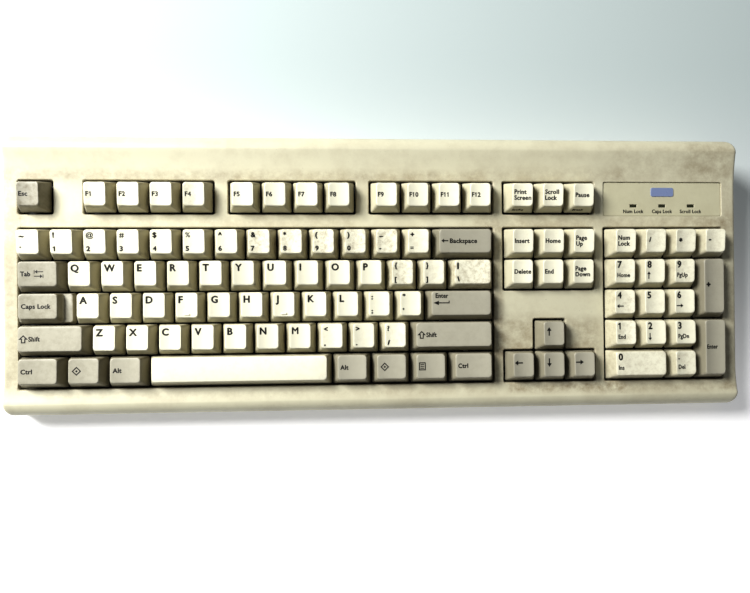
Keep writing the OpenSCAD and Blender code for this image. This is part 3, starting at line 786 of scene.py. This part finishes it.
def loose_parts(node):
    """The separate solids of a node: each a list of (x, s, n) corners and its faces, in millimetres on the deck."""
    me = NODES[node].data
    keys, index = {}, []
    for v in me.vertices:
        p = TO_DECK @ v.co
        index.append(keys.setdefault((round(p.x, 3), round(p.y, 3), round(p.z, 3)), len(keys)))
    root = list(range(len(keys)))

    def find(i):
        while root[i] != i:
            root[i] = root[root[i]]
            i = root[i]
        return i

    for p in me.polygons:
        a = find(index[p.vertices[0]])
        for v in p.vertices[1:]:
            root[find(index[v])] = a
    points = list(keys)
    groups = {}
    for i in range(len(points)):
        groups.setdefault(find(i), []).append(i)
    out = []
    for members in groups.values():
        number = {m: i for i, m in enumerate(members)}
        faces = [tuple(number[index[v]] for v in p.vertices) for p in me.polygons if index[p.vertices[0]] in number]
        out.append(([points[m] for m in members], faces))
    return out


class Cap:
    def __init__(self, node, x0, x1, y0, y1):
        self.node = node
        self.full = (x0, x1, y0, y1)
        self.row = min(range(6), key=lambda r: abs(y0 - 0.425 - ROW_START[r] * PITCH))
        self.stepped = node == "caps_lock_key"
        self.space = x1 - x0 > 90
        self.tall = y1 - y0 > 30
        self.x0, self.x1, self.y0, self.y1 = x0, (x0 + 1.5 * PITCH - 0.85) if self.stepped else x1, y0, y1
        self.height = ROW_HEIGHT[self.row]
        self.front, self.rear = ROW_FRONT[self.row], ROW_REAR[self.row]
        self.slope = 0 if self.tall else math.tan(math.radians(ROW_SLOPE[self.row]))
        self.left, self.right = x0 + SIDE, self.x1 - SIDE
        self.near, self.far = y0 + self.front, y1 - self.rear
        self.xc, self.yc = (self.left + self.right) / 2, (self.near + self.far) / 2
        self.half = (self.right - self.left) / 2 - 0.25

    def bend(self, x, y):
        """Height of the top over the level of its edge."""
        z = self.slope * (y - self.yc)
        if self.space:
            t = (y - self.yc) / ((self.far - self.near) / 2)
            return z - 0.55 * min(1.4, t * t)
        return z - DISH * max(0.0, 1 - ((x - self.xc) / self.half) ** 2)

    def top(self, x, y, lift=0.0):
        return x, y, SKIRT + self.height + self.bend(x, y) + lift

    def outline(self, t, more=0.0, r=1.0):
        return outline(self.x0 + SIDE * t + more, self.x1 - SIDE * t - more, self.y0 + self.front * t + more,
                       self.y1 - self.rear * t - more, r, 4, self.nx, self.ny)

    def data(self, hollow=True):
        wide = (self.x1 - self.x0) / PITCH
        self.nx = max(7, int(6 * wide)) if not self.space else 18
        self.ny = 2 if not self.tall else 5
        rings = []
        inner = self.height - DISH - 1.3
        if hollow:
            def inside(t, more=0.0):
                k = 0.85 * t
                return outline(self.x0 + WALL + SIDE * k + more, self.x1 - WALL - SIDE * k - more,
                               self.y0 + WALL + self.front * k + more, self.y1 - WALL - self.rear * k - more,
                               0.7, 4, self.nx, self.ny)
            rings += [raised(inside(1, 1.6), SKIRT + inner), raised(inside(1, 0.3), SKIRT + inner),
                      raised(inside(0.96), SKIRT + inner - 0.3), raised(inside(0.5), SKIRT + inner / 2),
                      raised(inside(0), SKIRT + 0.15), raised(inside(0, -0.12), SKIRT)]
        rings += [raised(self.outline(0, 0.2, 0.8), SKIRT), raised(self.outline(0, 0.03, 0.95), SKIRT + 0.1)]
        for t in (0.03, 0.3, 0.6, 0.8, 0.93):
            weight = t ** 4
            rings.append([(x, y, SKIRT + self.height * t + weight * self.bend(x, y) - FILLET * 0.4 * weight)
                          for x, y in self.outline(t, 0, 1.0 + 1.0 * t)])
        for a in (25, 50, 70, 90):
            a = math.radians(a)
            inset = FILLET * (1 - math.cos(a))
            rings.append([self.top(x, y, -FILLET * (1 - math.sin(a))) for x, y in self.outline(1, inset, 2.0)])
        last = self.outline(1, FILLET, 2.0)
        for f in (0.82, 0.6, 0.38, 0.16, 0.03):
            rings.append([self.top(self.xc + (x - self.xc) * f, self.yc + (y - self.yc) * f) for x, y in last])
        return loft(rings)

    def step(self):
        """The low block under a stepped cap."""
        x0, x1, y0, y1 = self.full
        rings = []
        for t, z, r in ((0, SKIRT, 1), (0.03, SKIRT + 0.1, 1), (0.86, SKIRT + 3.2, 1.4), (0.97, SKIRT + 3.52, 1.4),
                        (1.2, SKIRT + 3.6, 1.4)):
            rings.append(raised(outline(x0 + 0.9 * t, x1 - 0.9 * t, y0 + 1.2 * t, y1 - 0.3 * t, r, 4), z))
        return loft(rings)

    def step_hollow(self):
        x0, x1, y0, y1 = self.full
        return loft([raised(outline(x0 + WALL + g, x1 - WALL - g, y0 + WALL + g, y1 - WALL - g / 2, 0.7, 4), z)
                     for g, z in ((0, SKIRT - 1), (0.7, SKIRT + 2.4))])

    def hollow_solid(self):
        inner = self.height - DISH - 1.3
        rings = []
        for t, z in ((0, SKIRT - 1), (0, SKIRT), (0.95, SKIRT + inner)):
            k = 0.85 * t
            rings.append(raised(outline(self.x0 + WALL + SIDE * k, self.x1 - WALL - SIDE * k,
                                        self.y0 + WALL + self.front * k, self.y1 - WALL - self.rear * k, 0.7, 4), z))
        return loft(rings)


def post_data():
    """The round socket under a cap, with its cross, from the level of the switch cover up to 0."""
    post = mesh_object("post", *loft(lathe([(2.7, -7), (2.85, -6.85), (2.85, 0)], 20)))
    for w, d in ((4.1, 1.3), (1.3, 4.1)):
        cut(post, levels(-w / 2, w / 2, -d / 2, d / 2, 0.05, ((0, -8), (0, -1.2)), 1))
    return data_of(post, WORLD)


def plunger_data():
    """The moving part of a switch, level 0 at the deck."""
    parts = []
    for w, d, low, high in ((7, 6, -5.5, -0.9), (9, 6, -4.0, -2.6), (4, 1.2, -0.95, 2.7), (1.2, 4, -0.95, 2.68)):
        parts.append(levels(-w / 2, w / 2, -d / 2, d / 2, 0.3,
                            ((0.15, low), (0, low + 0.15), (0, high - 0.15), (0.15, high)), 2, 0))
    return parts


POST = post_data()
PLUNGER_PARTS = plunger_data()
CAPS = {}
SWITCHES = {}
for name in NODES:
    if name + "_press" not in JOINTS:
        continue
    found, small = [], []
    for points, faces in loose_parts(name):
        xs, ys = [p[0] for p in points], [p[1] for p in points]
        (found if max(xs) - min(xs) > 12 else small).append((min(xs), max(xs), min(ys), max(ys)))
    found.sort(key=lambda b: (-round(b[2] / 5), b[0]))
    CAPS[name] = [Cap(name, *b) for b in found]
    SWITCHES[name] = [((b[0] + b[1]) / 2, (b[2] + b[3]) / 2) for b in small]

GREY = {name + "_key" for name in (
    "esc", "backspace", "tab", "caps_lock", "enter", "left_shift", "right_shift", "left_ctrl", "left_super", "left_alt",
    "right_alt", "right_super", "menu", "right_ctrl", "up_arrow", "left_arrow", "down_arrow", "right_arrow", "pad_plus",
    "pad_enter")}
# How soiled each cap's top is, in the order of the caps; other keys are nearly clean.
DIRTY = {"esc_key": [1.6], "f1_f4_keys": [0.8, 0.4, 0.3, 0.7], "caps_lock_key": [1], "tab_key": [0.8],
         "left_shift_key": [0.6],
         "number_row_keys": [0.4, 0.1, 0.1, 0.15, 0.1, 0.3, 0.4, 1.3, 1.2, 1.4, 1.5, 1.4, 0.5], "pad_zero_key": [0.8],
         "upper_letter_keys": [0.1] * 10 + [1.3, 0.6, 1.4], "lower_letter_keys": [0.1] * 7 + [0.4, 0.3, 0.5],
         "pad_operator_keys": [0.5, 0.7, 0.7, 0.7],
         "pad_digit_keys": [0.6, 0.3, 0.7, 0.9, 0.4, 0.3, 0.9, 0.3, 0.2, 0.8],
         "space_bar": [0.25], "left_ctrl_key": [0.6], "left_super_key": [0.6], "left_alt_key": [0.4]}
# How yellowed a cap is, where that isn't drawn at random.
TONES = {"esc_key": 1.0, "pad_plus_key": 1.0, "pad_enter_key": 0.8, "up_arrow_key": 0.6, "enter_key": 0.5,
         "left_shift_key": 0.0}


def cap_object(name):
    parts, tones, grimes = [], [], []
    for cap in CAPS[name]:
        piece = [cap.data()]
        if cap.stepped:
            block = mesh_object("step", *cap.step(), matrix=DECK)
            cut(block, cap.data(False), DECK, "UNION")
            cut(block, cap.step_hollow(), DECK)
            cut(block, cap.hollow_solid(), DECK)
            piece = [cleaned(data_of(block, DECK))]
        tone = TONES.get(name, random.random() ** 2)
        grime = DIRTY[name][CAPS[name].index(cap)] if name in DIRTY else random.uniform(0.05, 0.3)
        if name == "home_letter_keys" and CAPS[name].index(cap) in HOME_KEYS:
            piece.append(nub(cap))
        cx = (cap.x0 + cap.x1) / 2 if cap.stepped else (cap.full[0] + cap.full[1]) / 2
        cy = (cap.full[2] + cap.full[3]) / 2
        ceiling = SKIRT + cap.height - DISH - 1.2
        piece.append(placed(POST, Matrix.Translation((cx, cy, ceiling)) @ Matrix.Diagonal(
            (1, 1, (ceiling + 0.88) / 7, 1))))
        if cap.space or cap.full[1] - cap.full[0] > 35 or cap.tall:
            reach = 42 if cap.space else 11.9
            for side in (-1, 1):
                px, py = (cx, cy + side * reach) if cap.tall else (cx + side * reach, cy)
                w, d = (6, 3.6) if cap.tall else (3.6, 6)
                piece.append(levels(px - w / 2, px + w / 2, py - d / 2, py + d / 2, 0.4,
                                    ((0.2, STEM_LOW), (0, STEM_LOW + 0.2), (0, ceiling + 0.2)), 3, 0))
        parts += piece
        count = sum(len(verts) for verts, _ in piece)
        tones += [tone] * count
        grimes += [grime] * count
    ob = joined(name + "_caps", parts, DECK)
    # Painted shade on the caps' walls: the further a vertex's normal turns from the key's travel, the darker its wall
    # is painted, fully on walls that face right and to 0.6 on the others.
    sides = [min(1.0, max(0.0, (0.86 - v.normal.dot(NORMAL)) / 0.3)) * (1.0 if v.normal.x > 0.3 else 0.6)
             for v in ob.data.vertices]
    for key, values in (("tone", tones), ("grime", grimes), ("side", sides)):
        layer = ob.data.attributes.new(key, "FLOAT", "POINT")
        layer.data.foreach_set("value", values)
    smooth(ob, 50, weighted=False)
    grey = name in GREY
    return finish_piece(ob, KEY_GREY if grey else KEY_CREAM, "key_grey" if grey else "key_cream", name, name)


def cleaned(data, gap=0.004):
    """The same solid without the slivers that a cut leaves."""
    bm = bmesh.new()
    made = [bm.verts.new(v) for v in data[0]]
    for f in data[1]:
        bm.faces.new([made[i] for i in f])
    bmesh.ops.remove_doubles(bm, verts=bm.verts, dist=gap)
    bmesh.ops.dissolve_degenerate(bm, dist=gap, edges=bm.edges)
    bmesh.ops.holes_fill(bm, edges=[e for e in bm.edges if len(e.link_faces) == 1], sides=0)
    bm.verts.index_update()
    result = [tuple(v.co) for v in bm.verts], [tuple(v.index for v in f.verts) for f in bm.faces]
    bm.free()
    return result


HOME_KEYS = 3, 6


def nub(cap):
    """The raised bar that marks the home keys."""
    x, y = cap.xc, cap.near + 1.9
    rings = []
    for g, z in ((0, -0.4), (0, 0.2), (0.14, 0.38), (0.36, 0.45)):
        rings.append([cap.top(px, py, z)
                      for px, py in outline(x - 1.8 + g, x + 1.8 - g, y - 0.65 + g, y + 0.65 - g, 0.64, 5, 2, 0)])
    return loft(rings)


SPRING_FOOT, SPRING_TOP = -11.25, -5.55


def coil_data():
    """A spring of four turns between the switch's floor and its plunger."""
    rings, steps, turns = [], 10, 4
    for i in range(steps * turns + 1):
        t = 2 * math.pi * i / steps
        z = SPRING_FOOT + 0.24 + (SPRING_TOP - SPRING_FOOT - 0.48) * i / (steps * turns)
        ring = []
        for a in (2 * math.pi * k / 5 for k in range(5)):
            r = 2.3 + 0.22 * math.cos(a)
            ring.append((r * math.cos(t), r * math.sin(t), z + 0.22 * math.sin(a)))
        rings.append(ring)
    return loft(rings)


COIL = coil_data()
for name in CAPS:
    cap_object(name)
    coils = [placed(COIL, Matrix.Translation((x, y, 0))) for x, y in SWITCHES[name]]
    ob = smooth(joined(name + "_springs", coils, DECK), 50, weighted=False)
    finish_piece(ob, SPRING, "spring_steel", "case", "switch_springs")
    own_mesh(ob)
    parts = [placed(p, Matrix.Translation((x, y, 0))) for x, y in SWITCHES[name] for p in PLUNGER_PARTS]
    ob = smooth(joined(name + "_plungers", parts, DECK), 40, weighted=False)
    finish_piece(ob, PLUNGER, "switch_grey", name)

# ---- Lettering ----

GLYPHS = {}
OFFSET = 0.012  # the most that a letter's curves are offset; a heavier stroke adds shifted copies


def glyphs(text, weight):
    """The text as a flat mesh, cap height 1, its left edge at 0: (corners, faces, width)."""
    if (text, weight) in GLYPHS:
        return GLYPHS[text, weight]
    verts, faces, at = [], [], 0.0
    for i, letter in enumerate(text):
        thin = filled(letter, 0.0)
        for w in (min(weight, OFFSET), 0.008, 0.004, 0.0):
            v, f, area = filled(letter, w)
            if area <= thin[2] * (1 + 30 * w) + 1e-9:
                break
        for x, y in v:
            verts.append((x + at, y))
        faces += [tuple(len(verts) - len(v) + k for k in face) for face in f]
        at = advance(text[:i + 1] + "|") - advance("|") + 0.8 * weight * (i + 1)
    left = min(v[0] for v in verts)
    n, spread = len(verts), max(0.0, weight - OFFSET)
    shifts = (0, 0.0021), (2 * spread, 0), (spread + 0.0011, 0.7 * spread), (spread, -0.7 * spread)
    verts = [((x - left + dx) / LETTER_HEIGHT, (y + dy) / LETTER_HEIGHT) for dx, dy in shifts for x, y in verts]
    faces = [tuple(i + n * k for i in f) for k in range(4) for f in faces]
    GLYPHS[text, weight] = verts, faces, max(v[0] for v in verts)
    return GLYPHS[text, weight]


def curve_mesh(text, weight):
    curve = bpy.data.curves.new("glyphs", "FONT")
    curve.body = text
    curve.resolution_u = 3
    curve.offset = weight
    curve.fill_mode = "FRONT"
    ob = bpy.data.objects.new("glyphs", curve)
    bpy.context.scene.collection.objects.link(ob)
    deps = bpy.context.evaluated_depsgraph_get()
    me = bpy.data.meshes.new_from_object(ob.evaluated_get(deps))
    bpy.data.objects.remove(ob)
    return me


def advance(text):
    """How far the text reaches to the right."""
    if text not in ADVANCE:
        ADVANCE[text] = max(v.co.x for v in curve_mesh(text, 0.0).vertices)
    return ADVANCE[text]


def filled(letter, weight):
    """One letter as a flat mesh with its area."""
    if (letter, weight) not in LETTERS:
        if letter == " ":
            LETTERS[letter, weight] = [], [], 0.0
            return LETTERS[letter, weight]
        bm = bmesh.new()
        if letter == "1":
            bm.faces.new([bm.verts.new((x, y, 0)) for x, y in ONE])
        else:
            bm.from_mesh(curve_mesh(letter, weight))
        bmesh.ops.remove_doubles(bm, verts=bm.verts, dist=0.0004)
        bm.verts.index_update()
        LETTERS[letter, weight] = ([(v.co.x, v.co.y) for v in bm.verts],
                                   [tuple(v.index for v in f.verts) for f in bm.faces],
                                   sum(f.calc_area() for f in bm.faces))
        bm.free()
    return LETTERS[letter, weight]


ADVANCE, LETTERS = {}, {}
BIG, WORD, FINE = 0.048, 0.044, 0.04  # stroke weights
ONE = ((0.2, 0.0), (0.3, 0.0), (0.3, 0.682), (0.23, 0.682), (0.06, 0.575), (0.06, 0.475), (0.2, 0.555))
LETTER_HEIGHT = max(v[1] for v in filled("H", 0.0)[0])


def words(text, x, y, height, squeeze, weight):
    verts, faces, _ = glyphs(text, weight)
    return [(x + vx * height * squeeze, y + vy * height) for vx, vy in verts], faces


def shape(points):
    return list(points), [tuple(range(len(points)))]


def arrow(x, y, length, way, head=1.7, thick=0.66, spread=1.25):
    """A plain arrow from its middle, pointing left, right, up or down."""
    h, a = length / 2, head
    t = thick / 2
    pts = [(-h, -t), (h - a, -t), (h - a, -spread), (h, 0), (h - a, spread), (h - a, t), (-h, t)]
    turn = {"right": (1, 0), "up": (0, 1), "left": (-1, 0), "down": (0, -1)}[way]
    return shape([(x + px * turn[0] - py * turn[1], y + px * turn[1] + py * turn[0]) for px, py in pts])


def bar(x0, y0, x1, y1):
    return shape([(x0, y0), (x1, y0), (x1, y1), (x0, y1)])


def stroke(points, width):
    """A closed line of even width, as a ring of quads."""
    n = len(points)
    inner, outer = [], []
    for i in range(n):
        a, b, c = Vector(points[i - 1]), Vector(points[i]), Vector(points[(i + 1) % n])
        n1, n2 = (b - a).normalized(), (c - b).normalized()
        m = Vector((n1.y + n2.y, -n1.x - n2.x)).normalized()
        k = width / 2 / max(0.35, m.dot(Vector((n1.y, -n1.x))))
        inner.append(tuple(b - m * k))
        outer.append(tuple(b + m * k))
    faces = [(i, (i + 1) % n, n + (i + 1) % n, n + i) for i in range(n)]
    return inner + outer, faces


def print_on(flats, place, step=1.1, lift=0.045, sink=0.14):
    """Flat shapes as thin closed solids lying on a surface; place(x, y, lift) gives a point over it."""
    bm = bmesh.new()
    for verts, faces in flats:
        made = [bm.verts.new((x, y, 0)) for x, y in verts]
        for f in faces:
            try:
                bm.faces.new([made[i] for i in f])
            except ValueError:
                pass
    xs = [v.co.x for v in bm.verts]
    low, high = min(xs), max(xs)
    cuts = int((high - low) / step)
    for i in range(cuts):
        at = low + (high - low) * (i + 1) / (cuts + 1) + 0.0137
        bmesh.ops.bisect_plane(bm, geom=bm.verts[:] + bm.edges[:] + bm.faces[:], dist=1e-4,
                               plane_co=(at, 0, 0), plane_no=(1, 0, 0))
    bmesh.ops.delete(bm, geom=[v for v in bm.verts if not v.link_faces], context="VERTS")
    bm.verts.index_update()
    bm.normal_update()
    n = len(bm.verts)
    verts = [place(v.co.x, v.co.y, lift) for v in bm.verts] + [place(v.co.x, v.co.y, -sink) for v in bm.verts]
    faces = []
    for f in bm.faces:
        ring = [v.index for v in f.verts]
        if f.normal.z < 0:
            ring.reverse()
        faces.append(tuple(ring))
        faces.append(tuple(n + i for i in reversed(ring)))
    for e in bm.edges:
        if len(e.link_faces) == 1:
            a, b = e.verts[0].index, e.verts[1].index
            faces.append((a, b, n + b, n + a))
    bm.free()
    return verts, faces


def one(letter):
    return lambda c: [words(letter, c.left + 1.5, c.far - 2.1 - 3.9, 3.9, 0.96, BIG)]


def pair(upper, lower):
    def put(c):
        drop = {"_": 0.6, "-": 0, "~": -0.6}.get(upper, 0)
        heavy = [0.1 if t in "-_:;.,'\"`/\\|~" else 0.025 if t in "@#%=" else 0.06 for t in (upper, lower)]
        return [words(upper, c.left + 1.5, c.far - 1.9 - 2.8 + drop, 2.8, 1.0, heavy[0]),
                words(lower, c.left + 1.5, c.near + 1.75, 2.65, 1.0, heavy[1])]
    return put


def label(*lines, height=2.55, left=1.2, level=0.0, squeeze=0.97):
    def put(c):
        pitch = 3.6
        y = c.yc - height / 2 + pitch * (len(lines) - 1) / 2 + level
        return [words(t, c.left + left, y - pitch * i, height, squeeze, WORD) for i, t in enumerate(lines)]
    return put


def pad(digit, text=None, way=None):
    def put(c):
        out = [words(digit, c.left + 1.5, c.far - 1.4 - 3.9, 3.9, 0.96, BIG)]
        if text:
            out.append(words(text, c.left + 1.5, c.near + 3.6, 2.5, 0.86, WORD))
        if way:
            tall = way in ("up", "down")
            out.append(arrow(c.left + (2.6 if tall else 3.4), c.near + 4.7, 4.6, way))
        return out
    return put


def arrow_key(way):
    return lambda c: [arrow(c.left + 3.4, c.yc + 1.2, 5.2, way, 2.2, 0.8, 1.5)]


def shift_legend(c):
    x, y, h = c.left + 3.3, c.yc, 2.0
    outline_arrow = [(x, y + h), (x + 1.9, y + 0.1), (x + 0.9, y + 0.1), (x + 0.9, y - h), (x - 0.9, y - h),
                     (x - 0.9, y + 0.1), (x - 1.9, y + 0.1)]
    return [stroke(outline_arrow[::-1], 0.62), words("Shift", c.left + 6.1, c.yc - 1.3, 2.6, 0.86, WORD)]


def tab_legend(c):
    x, out = c.left + 11.7, [words("Tab", c.left + 1.5, c.yc - 1.25, 2.6, 0.88, WORD)]
    for y, way in ((c.yc + 1.3, "left"), (c.yc - 1.3, "right")):
        side = -1 if way == "left" else 1
        out.append(arrow(x - side * 0.2, y, 4.9, way, 1.5, 0.5, 1.1))
        out.append(bar(x + side * 2.5 - 0.2, y - 1.05, x + side * 2.5 + 0.2, y + 1.05))
    return out


def backspace_legend(c):
    return [arrow(c.left + 3.4, c.yc + 0.1, 4.3, "left", 1.7, 0.7, 1.25),
            words("Backspace", c.left + 6.5, c.yc - 1.2, 2.6, 1.0, WORD)]


def enter_legend(c):
    x0, x1, y = c.left + 1.2, c.left + 11.2, c.yc + 0.2
    hook = [(x0, y), (x0 + 3.4, y - 1.35), (x0 + 3.4, y - 0.33), (x1, y - 0.33), (x1, y + 1.3), (x1 - 0.6, y + 1.3),
            (x1 - 0.6, y + 0.33), (x0 + 3.4, y + 0.33), (x0 + 3.4, y + 1.35)]
    return [words("Enter", c.left + 2.5, c.far - 1.5 - 2.6, 2.6, 0.88, WORD), shape(hook)]


def super_legend(c):
    def diamond(r):
        return [(c.left + 4.6 + r * math.cos(a), c.yc + r * math.sin(a))
                for a in (0.0, math.pi / 2, math.pi, -math.pi / 2)]

    return [stroke(diamond(2.2)[::-1], 0.62), shape(diamond(0.75))]


def menu_legend(c):
    x, y = c.left + 3.2, c.yc
    return [stroke([(x - 1.4, y - 2.1), (x - 1.4, y + 2.1), (x + 2.2, y + 2.1), (x + 2.2, y - 2.1)], 0.6)] + [
        bar(x - 0.8, y + t - 0.26, x + 1.5, y + t + 0.26) for t in (-1.1, 0, 1.1)]


def pad_enter(c):
    return [words("Enter", c.left + 0.9, c.yc - 1.0, 2.5, 0.84, WORD)]


def sign(text, height=3.4, middle=0.4):
    return lambda c: [words(text, c.left + (1.3 if c.tall else 2.0), c.yc + 0.5 - middle * height, height, 1.0, 0.075)]


LEGENDS = {
    "esc_key": [label("Esc")],
    "system_keys": [label("Print", "Screen"), label("Scroll", "Lock"), label("Pause")],
    "number_row_keys": [pair(a, b) for a, b in zip("~!@#$%^&*()_+", "`1234567890-=")],
    "backspace_key": [backspace_legend],
    "tab_key": [tab_legend],
    "upper_letter_keys": [one(a) for a in "QWERTYUIOP"] + [pair("{", "["), pair("}", "]"), pair("|", "\\")],
    "caps_lock_key": [label("Caps Lock", left=1.7)],
    "home_letter_keys": [one(a) for a in "ASDFGHJKL"] + [pair(":", ";"), pair("\"", "'")],
    "enter_key": [enter_legend],
    "lower_letter_keys": [one(a) for a in "ZXCVBNM"] + [pair("<", ","), pair(">", "."), pair("?", "/")],
    "menu_key": [menu_legend],
    "navigation_keys": [label("Insert"), label("Home"), label("Page", "Up"), label("Delete"), label("End"),
                        label("Page", "Down")],
    "pad_operator_keys": [label("Num", "Lock", left=1.5), sign("/", 2.8, 0.45), sign("*", 3.4, 0.78),
                          sign("-", 3.6, 0.36)],
    "pad_digit_keys": [pad("7", "Home"), pad("8", way="up"), pad("9", "PgUp"), pad("4", way="left"), pad("5"),
                       pad("6", way="right"), pad("1", "End"), pad("2", way="down"), pad("3", "PgDn"), pad(".", "Del")],
    "pad_zero_key": [pad("0", "Ins")],
    "pad_plus_key": [sign("+")],
    "pad_enter_key": [pad_enter],
}
LEGENDS.update({f"f{i}_f{i + 3}_keys": [label(f"F{i + j}") for j in range(4)] for i in (1, 5, 9)})
LEGENDS.update({f"{way}_arrow_key": [arrow_key(way)] for way in ("up", "left", "down", "right")})
for side in ("left", "right"):
    LEGENDS.update({f"{side}_shift_key": [shift_legend], f"{side}_ctrl_key": [label("Ctrl", left=1.6)],
                    f"{side}_super_key": [super_legend], f"{side}_alt_key": [label("Alt", left=1.6)]})
FRONT_LEGENDS = {"system_keys": {0: "SysRq", 2: "Break"}}
for name, caps in CAPS.items():
    parts = []
    for cap, put in zip(caps, LEGENDS.get(name, [])):
        parts.append(print_on(put(cap), cap.top))
    for i, text in FRONT_LEGENDS.get(name, {}).items():
        cap = caps[i]
        lean = Vector((0, cap.front, cap.height)).normalized()
        out = Vector((0, -lean.z, lean.y))

        def on_front(x, v, lift, cap=cap, lean=lean, out=out):
            p = Vector((x, cap.full[2], SKIRT)) + lean * v + out * lift
            return tuple(p)

        parts.append(print_on([words(text, cap.left + 1.2, 3.9, 2.2, 0.86, WORD)], on_front))
    if parts:
        ob = joined(name + "_legends", parts, DECK)
        finish_piece(ob, INK, "legend_ink", name)

parts = []
for x, text in zip(WINDOW_X, ("Num Lock", "Caps Lock", "Scroll Lock")):
    w = glyphs(text, FINE)[2] * 2.1 * 0.94
    parts.append(print_on([words(text, x - w / 2, WINDOW_Y - 4.5, 2.1, 0.94, FINE)],
                          lambda px, py, lift: (px, py, lift - 0.6), 50, 0.02))
finish_piece(joined("panel_labels", parts, DECK), INK, "legend_ink", "case")

# ---- Floor, light and camera ----

floor = mesh_object("floor", [(-6000, -6000, 0), (6000, -6000, 0), (6000, 6000, 0), (-6000, 6000, 0)], [(0, 1, 2, 3)])
floor.location.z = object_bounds()[0][2] - 0.0001
floor.data.materials.append(FLOOR)

world = bpy.data.worlds.new("studio")
bpy.context.scene.world = world
world.use_nodes = True
back = world.node_tree.nodes["Background"]
back.inputs["Color"].default_value = (0.96, 0.98, 1.0, 1)
back.inputs["Strength"].default_value = 0.16


def soft_light(name, place, target, size, power, colour=(1, 1, 1)):
    lamp = bpy.data.lights.new(name, "AREA")
    lamp.shape = "DISK"
    lamp.size = size
    lamp.energy = power
    lamp.color = colour
    ob = bpy.data.objects.new(name, lamp)
    ob.location = place
    ob.rotation_euler = (Vector(target) - Vector(place)).to_track_quat("-Z", "Y").to_euler()
    bpy.context.scene.collection.objects.link(ob)
    return ob


soft_light("key_light", (-0.74, 0.43, 0.77), (-0.05, 0.0, 0.0), 0.52, 26.5, (1.0, 0.99, 0.97))

CAMERA_PLACE = Vector((-25.95, 51.63, 367.78))  # in the deck's frame
CAMERA_TURN = Vector((0.00512, -0.05818, -0.00762))  # away from looking square onto the deck
FOCAL_LENGTH = 28.70

camera = bpy.data.objects.new("camera", bpy.data.cameras.new("camera"))
camera.data.sensor_width = 36
camera.data.lens = FOCAL_LENGTH
camera.data.clip_start = 0.01
look = Matrix.Rotation(CAMERA_TURN.length, 4, CAMERA_TURN.normalized())
camera.matrix_world = Matrix.Translation(DECK @ CAMERA_PLACE) @ TURN @ look
bpy.context.scene.collection.objects.link(camera)
bpy.context.scene.camera = camera
bpy.context.scene.view_settings.view_transform = "Standard"
bpy.context.scene.view_settings.gamma = 0.84
